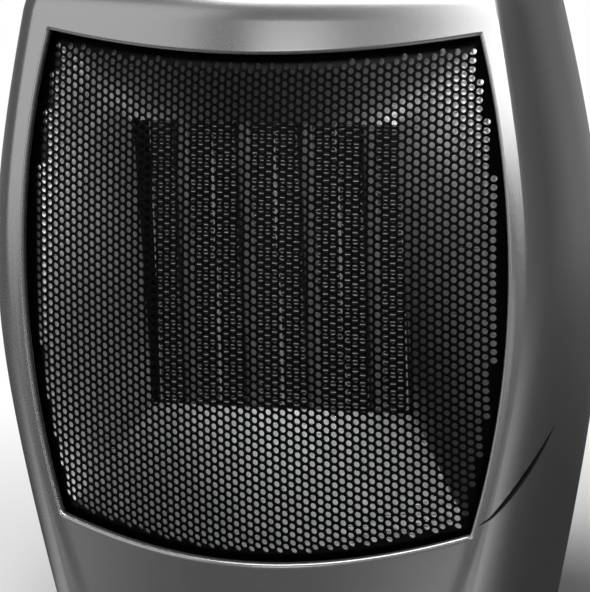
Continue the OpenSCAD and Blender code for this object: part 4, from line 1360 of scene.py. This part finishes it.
def mark(cx, angle, inner, w):
    """A bar on the tray's floor, at an angle clockwise from the front."""
    a = math.radians(-90 - angle)
    out = Vector((math.cos(a), math.sin(a)))
    half = Vector((-out.y, out.x)) * w / 2
    ring = [out * inner - half, out * mark_out - half, out * mark_out + half, out * inner + half]
    mark_set.add(*loft([
        [(cx + p.x, seam_y + p.y, floor_top + height) for p in ring] for height in (-mark_sunk, mark_h)]))


for k in range(scale_marks):
    if k % 3 == 0:
        mark(-knob_half, scale_step * k, mark_in, mark_w)
    else:
        mark(-knob_half, scale_step * k, scale_in - scale_growth * k, scale_w)
for k in range(stop_marks):
    mark(knob_half, stop_step * k, mark_in, stop_w)
marks = mesh_piece("dial_marks", mark_set.points, mark_set.faces, print_white, shaded=False)
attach(marks, "root")

lens_r = 3.2
lens_amber = finish("amber_lens")
lens_cloud = lens_amber.noise(2.0, 1.0)
lens_amber.feed({
    "Base Color": lens_amber.mixed(lens_cloud, (0.85, 0.22, 0.03, 1), (0.95, 0.3, 0.05, 1)),
    "Transmission Weight": 0.5,
    "IOR": 1.49,
    "Roughness": 0.08 + 0.05 * lens_cloud})
lens_flange_r = lens_r + 1.4
lens_flange_z = -tray_t - 0.02
lens_profile = [
    (lens_flange_r, -tray_t - 1.5), (lens_flange_r, lens_flange_z), (lens_r, lens_flange_z), (lens_r, 0.1),
    (lens_r - 0.35, 0.35), (lens_r - 1.2, 0.52), (lens_r - 2.4, 0.6)]
lens_piece = mesh_piece(
    "indicator_dome", *revolve(lens_profile, (0, seam_y, floor_top), (0, 0, 1)), lens_amber, sharp=50)
stand_for(lens_piece, ["indicator_lens"])


# Base
# Black moulded pan whose lip locates the casing, with four screws up into it from below.
# The plunger of the tip-over switch comes through its floor, and it stands on rubber feet.
base_reveal = 0.8
base_z = 3
lip_in = wall + fit + 0.1
lip_t = 2
lip_z = case_z + 6.7
floor_z = 6
face_steps = 24
bend_steps = 12
back_steps = 32


def base_ring(inset, z):
    """The casing's outline at its foot, drawn in and set at a height."""
    half = []
    for i in range(face_steps):
        x = crease_x(case_z, inset) * i / face_steps
        half.append((x, face_y(x, case_z) + inset))
    half += [tuple(corner_point(i / bend_steps, case_z, inset)) for i in range(bend_steps)]
    for i in range(back_steps + 1):
        a = math.pi / 2 * i / back_steps
        half.append((
            (case_x(case_z) - inset) * math.cos(a),
            back_curve_y + (back - inset - back_curve_y) * math.sin(a)))
    return [(x, y, z) for x, y in half] + [(-x, y, z) for x, y in reversed(half[1:-1])]


base_profile = [
    (base_reveal + 1.2, base_z), (base_reveal + 0.4, base_z + 0.25), (base_reveal, base_z + 1),
    (base_reveal, case_z - 0.6), (base_reveal + 0.25, case_z - 0.05), (lip_in, case_z - 0.02),
    (lip_in, lip_z), (lip_in + lip_t, lip_z), (lip_in + lip_t, floor_z)]
base_rings = [base_ring(inset, z) for inset, z in base_profile]
base = mesh_piece("base_moulding", *loft(base_rings), black_plastic, sharp=50)

# Its holes, each with its place, radius and upper end
plunger_y = -15
plunger_r = 3
foot_places = ((46, -42), (-46, -42), (38, 36), (-38, 36))
foot_r = 8
foot_top = base_z + 1
screw_places = ((52, -28), (-52, -28), (48, 22), (-48, 22))
screw_top = base_z + 1.6
hole_bevel = 0.4
hole_foot = -1
base_holes = [((0, plunger_y), plunger_r + fit / 2, 30)]
base_holes += [(place, foot_r + fit / 2, foot_top) for place in foot_places]
base_holes += [(place, head_r + fit, screw_top) for place in screw_places]
for (x, y), r, top in base_holes:
    hole_profile = [
        (r + hole_bevel, hole_foot), (r + hole_bevel, base_z), (r, base_z + hole_bevel), (r, top)]
    hole = mesh_piece("hole", *revolve(hole_profile, (x, y, 0), (0, 0, 1)), black_plastic)
    cut_away(base, hole, sharp=50)
stand_for(base, ["base_pan"])

foot_rubber = finish("foot_rubber")
rubber_dust = foot_rubber.noise(1.5, 4.0)
foot_rubber.feed({
    "Base Color": foot_rubber.mixed(rubber_dust, grey(0.012), grey(0.03)),
    "Roughness": 0.7 + 0.2 * rubber_dust,
    "Specular IOR Level": 0.3})
foot_rubber.relief(rubber_dust, 0.05)
foot_profile = [
    (foot_r - 2.2, 0.5), (foot_r - 1.9, 0), (foot_r - 0.7, 0), (foot_r - 0.15, 0.5), (foot_r, 1.2),
    (foot_r, foot_top - 0.05), (foot_r - 0.2, foot_top)]
foot_set = Group()
for x, y in foot_places:
    foot_set.add(*revolve(foot_profile, (x, y, 0), (0, 0, 1)))
feet = mesh_piece("feet_rubber", foot_set.points, foot_set.faces, foot_rubber, sharp=45)
stand_for(feet, ["rubber_feet"])


# Cord inlet
# Black bush in the lower back, with a bead round its mouth and a flange that holds it from
# inside. Its bore takes the cord.
cord_r = 3.6
gland_l = 9.5
gland_flange = (-8.5, -3.4)
gland_flange_r = gland_r + 2.5
gland_profile = [
    (cord_r, -gland_l), (gland_r, -gland_l),
    (gland_r, gland_flange[0]), (gland_flange_r, gland_flange[0]),
    (gland_flange_r, gland_flange[1]), (gland_r, gland_flange[1]),
    (gland_r, -0.6), (gland_r - 0.3, -0.15), (gland_r - 0.9, 0),
    (cord_r + 0.7, 0), (cord_r + 0.2, -0.2), (cord_r, -0.8), (cord_r, 0.1 - gland_l)]
gland = mesh_piece(
    "inlet_bush", *revolve(gland_profile, (0, back, gland_z), (0, 1, 0), closed=True),
    black_plastic, sharp=45)
stand_for(gland, ["cord_gland"])


# Screws
# Zinc plated pan heads with a cross recess. Four join the halves from the wells in the back,
# and four hold the base.
plated_steel = finish("zinc_plate")
zinc_cloud = plated_steel.noise(1.2, 4.0)
plated_steel.feed({
    "Metallic": 1.0,
    "Base Color": plated_steel.mixed(zinc_cloud, (0.5, 0.5, 0.49, 1), (0.68, 0.68, 0.66, 1)),
    "Roughness": 0.3 + 0.2 * zinc_cloud})
plated_steel.relief(zinc_cloud, 0.01)

screw_r = 1.5
screw_tip = 1.6
head_profile = [
    (screw_r, 0), (head_r, 0), (head_r, 0.7), (head_r - 0.35, 1.3), (head_r - 1, 1.65), (0.9, 1.8)]
seam_screw_l = 20
base_screw_l = 12
cross_w = 0.75
cross_l = 3.1
cross_corner_r = 0.15
screw_steps = 32
# The recess has its floor and its mouth at these heights, each with its share of the width
cross_rings = ((0.7, 0.55), (2.4, 1.1))


def screw(head, axis, length):
    """A screw whose head's underside is at head, with its driver's side along axis."""
    profile = [(0.5, -length), (screw_r, -length + screw_tip)] + head_profile
    body = mesh_piece("screw", *revolve(profile, head, axis, screw_steps), plated_steel)
    turn = Vector(axis).to_track_quat("Z", "Y").to_matrix()
    for w, l in ((cross_w, cross_l), (cross_l, cross_w)):
        rings = []
        for height, share in cross_rings:
            rings.append([
                Vector(head) + turn @ Vector((x * share, y * share, height))
                for x, y in rounded(w, l, cross_corner_r, 2)])
        cut_away(body, mesh_piece("cross", *loft(rings), plated_steel))
    return body


seam_set = joined(
    [screw((x, seam_head_y, z), (0, 1, 0), seam_screw_l) for x, z in seam_screws],
    "seam_screw_set", plated_steel)
stand_for(seam_set, ["seam_screws"])
base_set = joined(
    [screw((x, y, screw_top), (0, 0, -1), base_screw_l) for x, y in screw_places],
    "base_screw_set", plated_steel)
stand_for(base_set, ["base_screws"])
dress(
    ["thermal_cutout", "bearing_plates", "motor_screws", "spindle_nuts", "switch_bracket", "shroud_screws"],
    plated_steel)


# Fan and motor
# Glass-filled resin shroud and impeller, and a shaded-pole motor: punched laminations, an
# enamelled winding, a cast rotor and a ground shaft. The shroud is screwed to the front half.
fan_resin = finish("glass_filled_resin")
fan_fleck = fan_resin.noise(0.6, 4.0)
fan_resin.feed({
    "Base Color": fan_resin.mixed(fan_fleck, grey(0.02), grey(0.045)),
    "Roughness": 0.45 + 0.2 * fan_fleck})
fan_resin.relief(fan_fleck, 0.02)
dress(["fan_shroud", "impeller"], fan_resin)

core_steel = finish("punched_laminations")
sheet_lines = core_steel.node("TexWave", {"bands_direction": "Y"}, {
    "Vector": core_steel.place(), "Scale": 320.0, "Distortion": 0.6})
core_steel.feed({
    "Metallic": 1.0,
    "Base Color": core_steel.mixed(sheet_lines, (0.2, 0.2, 0.21, 1), (0.42, 0.42, 0.43, 1)),
    "Roughness": 0.35 + 0.2 * core_steel.noise(3.0, 3.0)})
core_steel.relief(sheet_lines, 0.05)
dress(["motor_stack"], core_steel)

winding = finish("enamelled_wire")
turns = winding.node("TexWave", {"bands_direction": "X"}, {
    "Vector": winding.place(), "Scale": 420.0, "Distortion": 1.2})
winding.feed({
    "Metallic": 0.7,
    "Base Color": winding.mixed(turns, (0.28, 0.09, 0.03, 1), (0.66, 0.27, 0.1, 1)),
    "Roughness": 0.28 + 0.1 * winding.noise(4.0, 2.0)})
winding.relief(turns, 0.12)
dress(["motor_coil"], winding)

rotor_alloy = finish("turned_rotor")
rotor_lines = rotor_alloy.node("TexWave", {"bands_direction": "Y"}, {
    "Vector": rotor_alloy.place(), "Scale": 500.0, "Distortion": 0.3})
rotor_alloy.feed({
    "Metallic": 1.0,
    "Base Color": rotor_alloy.mixed(rotor_lines, grey(0.4), grey(0.6)),
    "Roughness": 0.25 + 0.15 * rotor_lines})
dress(["motor_rotor"], rotor_alloy)

ground_steel = finish("ground_steel")
ground_lines = ground_steel.noise(0.8, 5.0)
ground_steel.feed({
    "Metallic": 1.0,
    "Base Color": ground_steel.mixed(ground_lines, grey(0.6), grey(0.72)),
    "Roughness": 0.14 + 0.1 * ground_lines})
dress(["motor_shaft", "thermostat_spindle", "mode_spindle"], ground_steel)


# Small inner pieces
# Brass blades and a fuse on the element, a brown thermostat, black switches, the lamp under
# the lens, a nylon terminal block and plunger, and its spring. All are screwed or clipped in.
def plain_finish(name, dark, light, size, roughness, metallic=0.0):
    """A finish in patches of that size, between a dark and a light colour."""
    nodes = finish(name)
    grain = nodes.noise(size, 3.0)
    nodes.feed({
        "Metallic": metallic,
        "Base Color": nodes.mixed(grain, (*dark, 1), (*light, 1)),
        "Roughness": roughness + 0.15 * grain})
    nodes.relief(grain, 0.02)
    return nodes


brass_blades = plain_finish("brass_blades", (0.5, 0.36, 0.13), (0.72, 0.55, 0.24), 2, 0.25, 1.0)
glazed_ceramic = plain_finish("glazed_ceramic", (0.7, 0.68, 0.62), (0.8, 0.78, 0.73), 3, 0.2)
brown_phenolic = plain_finish("brown_phenolic", (0.06, 0.028, 0.014), (0.1, 0.045, 0.022), 0.8, 0.45)
switch_resin = plain_finish("switch_resin", (0.012,) * 3, (0.028,) * 3, 0.8, 0.45)
natural_nylon = plain_finish("natural_nylon", (0.6, 0.58, 0.52), (0.7, 0.68, 0.62), 2, 0.4)
spring_wire = plain_finish("spring_wire", (0.4,) * 3, (0.55,) * 3, 0.5, 0.3, 1.0)
lamp_glass = finish("lamp_glass")
lamp_glass.feed({
    "Base Color": lamp_glass.mixed(lamp_glass.noise(3.0, 1.0), (0.9, 0.82, 0.74, 1), (0.95, 0.9, 0.85, 1)),
    "Transmission Weight": 0.8,
    "Roughness": 0.05})
dress(["terminal_blades"], brass_blades)
dress(["thermal_fuse"], glazed_ceramic)
dress(["thermostat_body"], brown_phenolic)
dress(["mode_switch", "tip_switch"], switch_resin)
dress(["tip_plunger", "terminal_block"], natural_nylon)
dress(["plunger_spring"], spring_wire)
dress(["indicator_lamp"], lamp_glass)
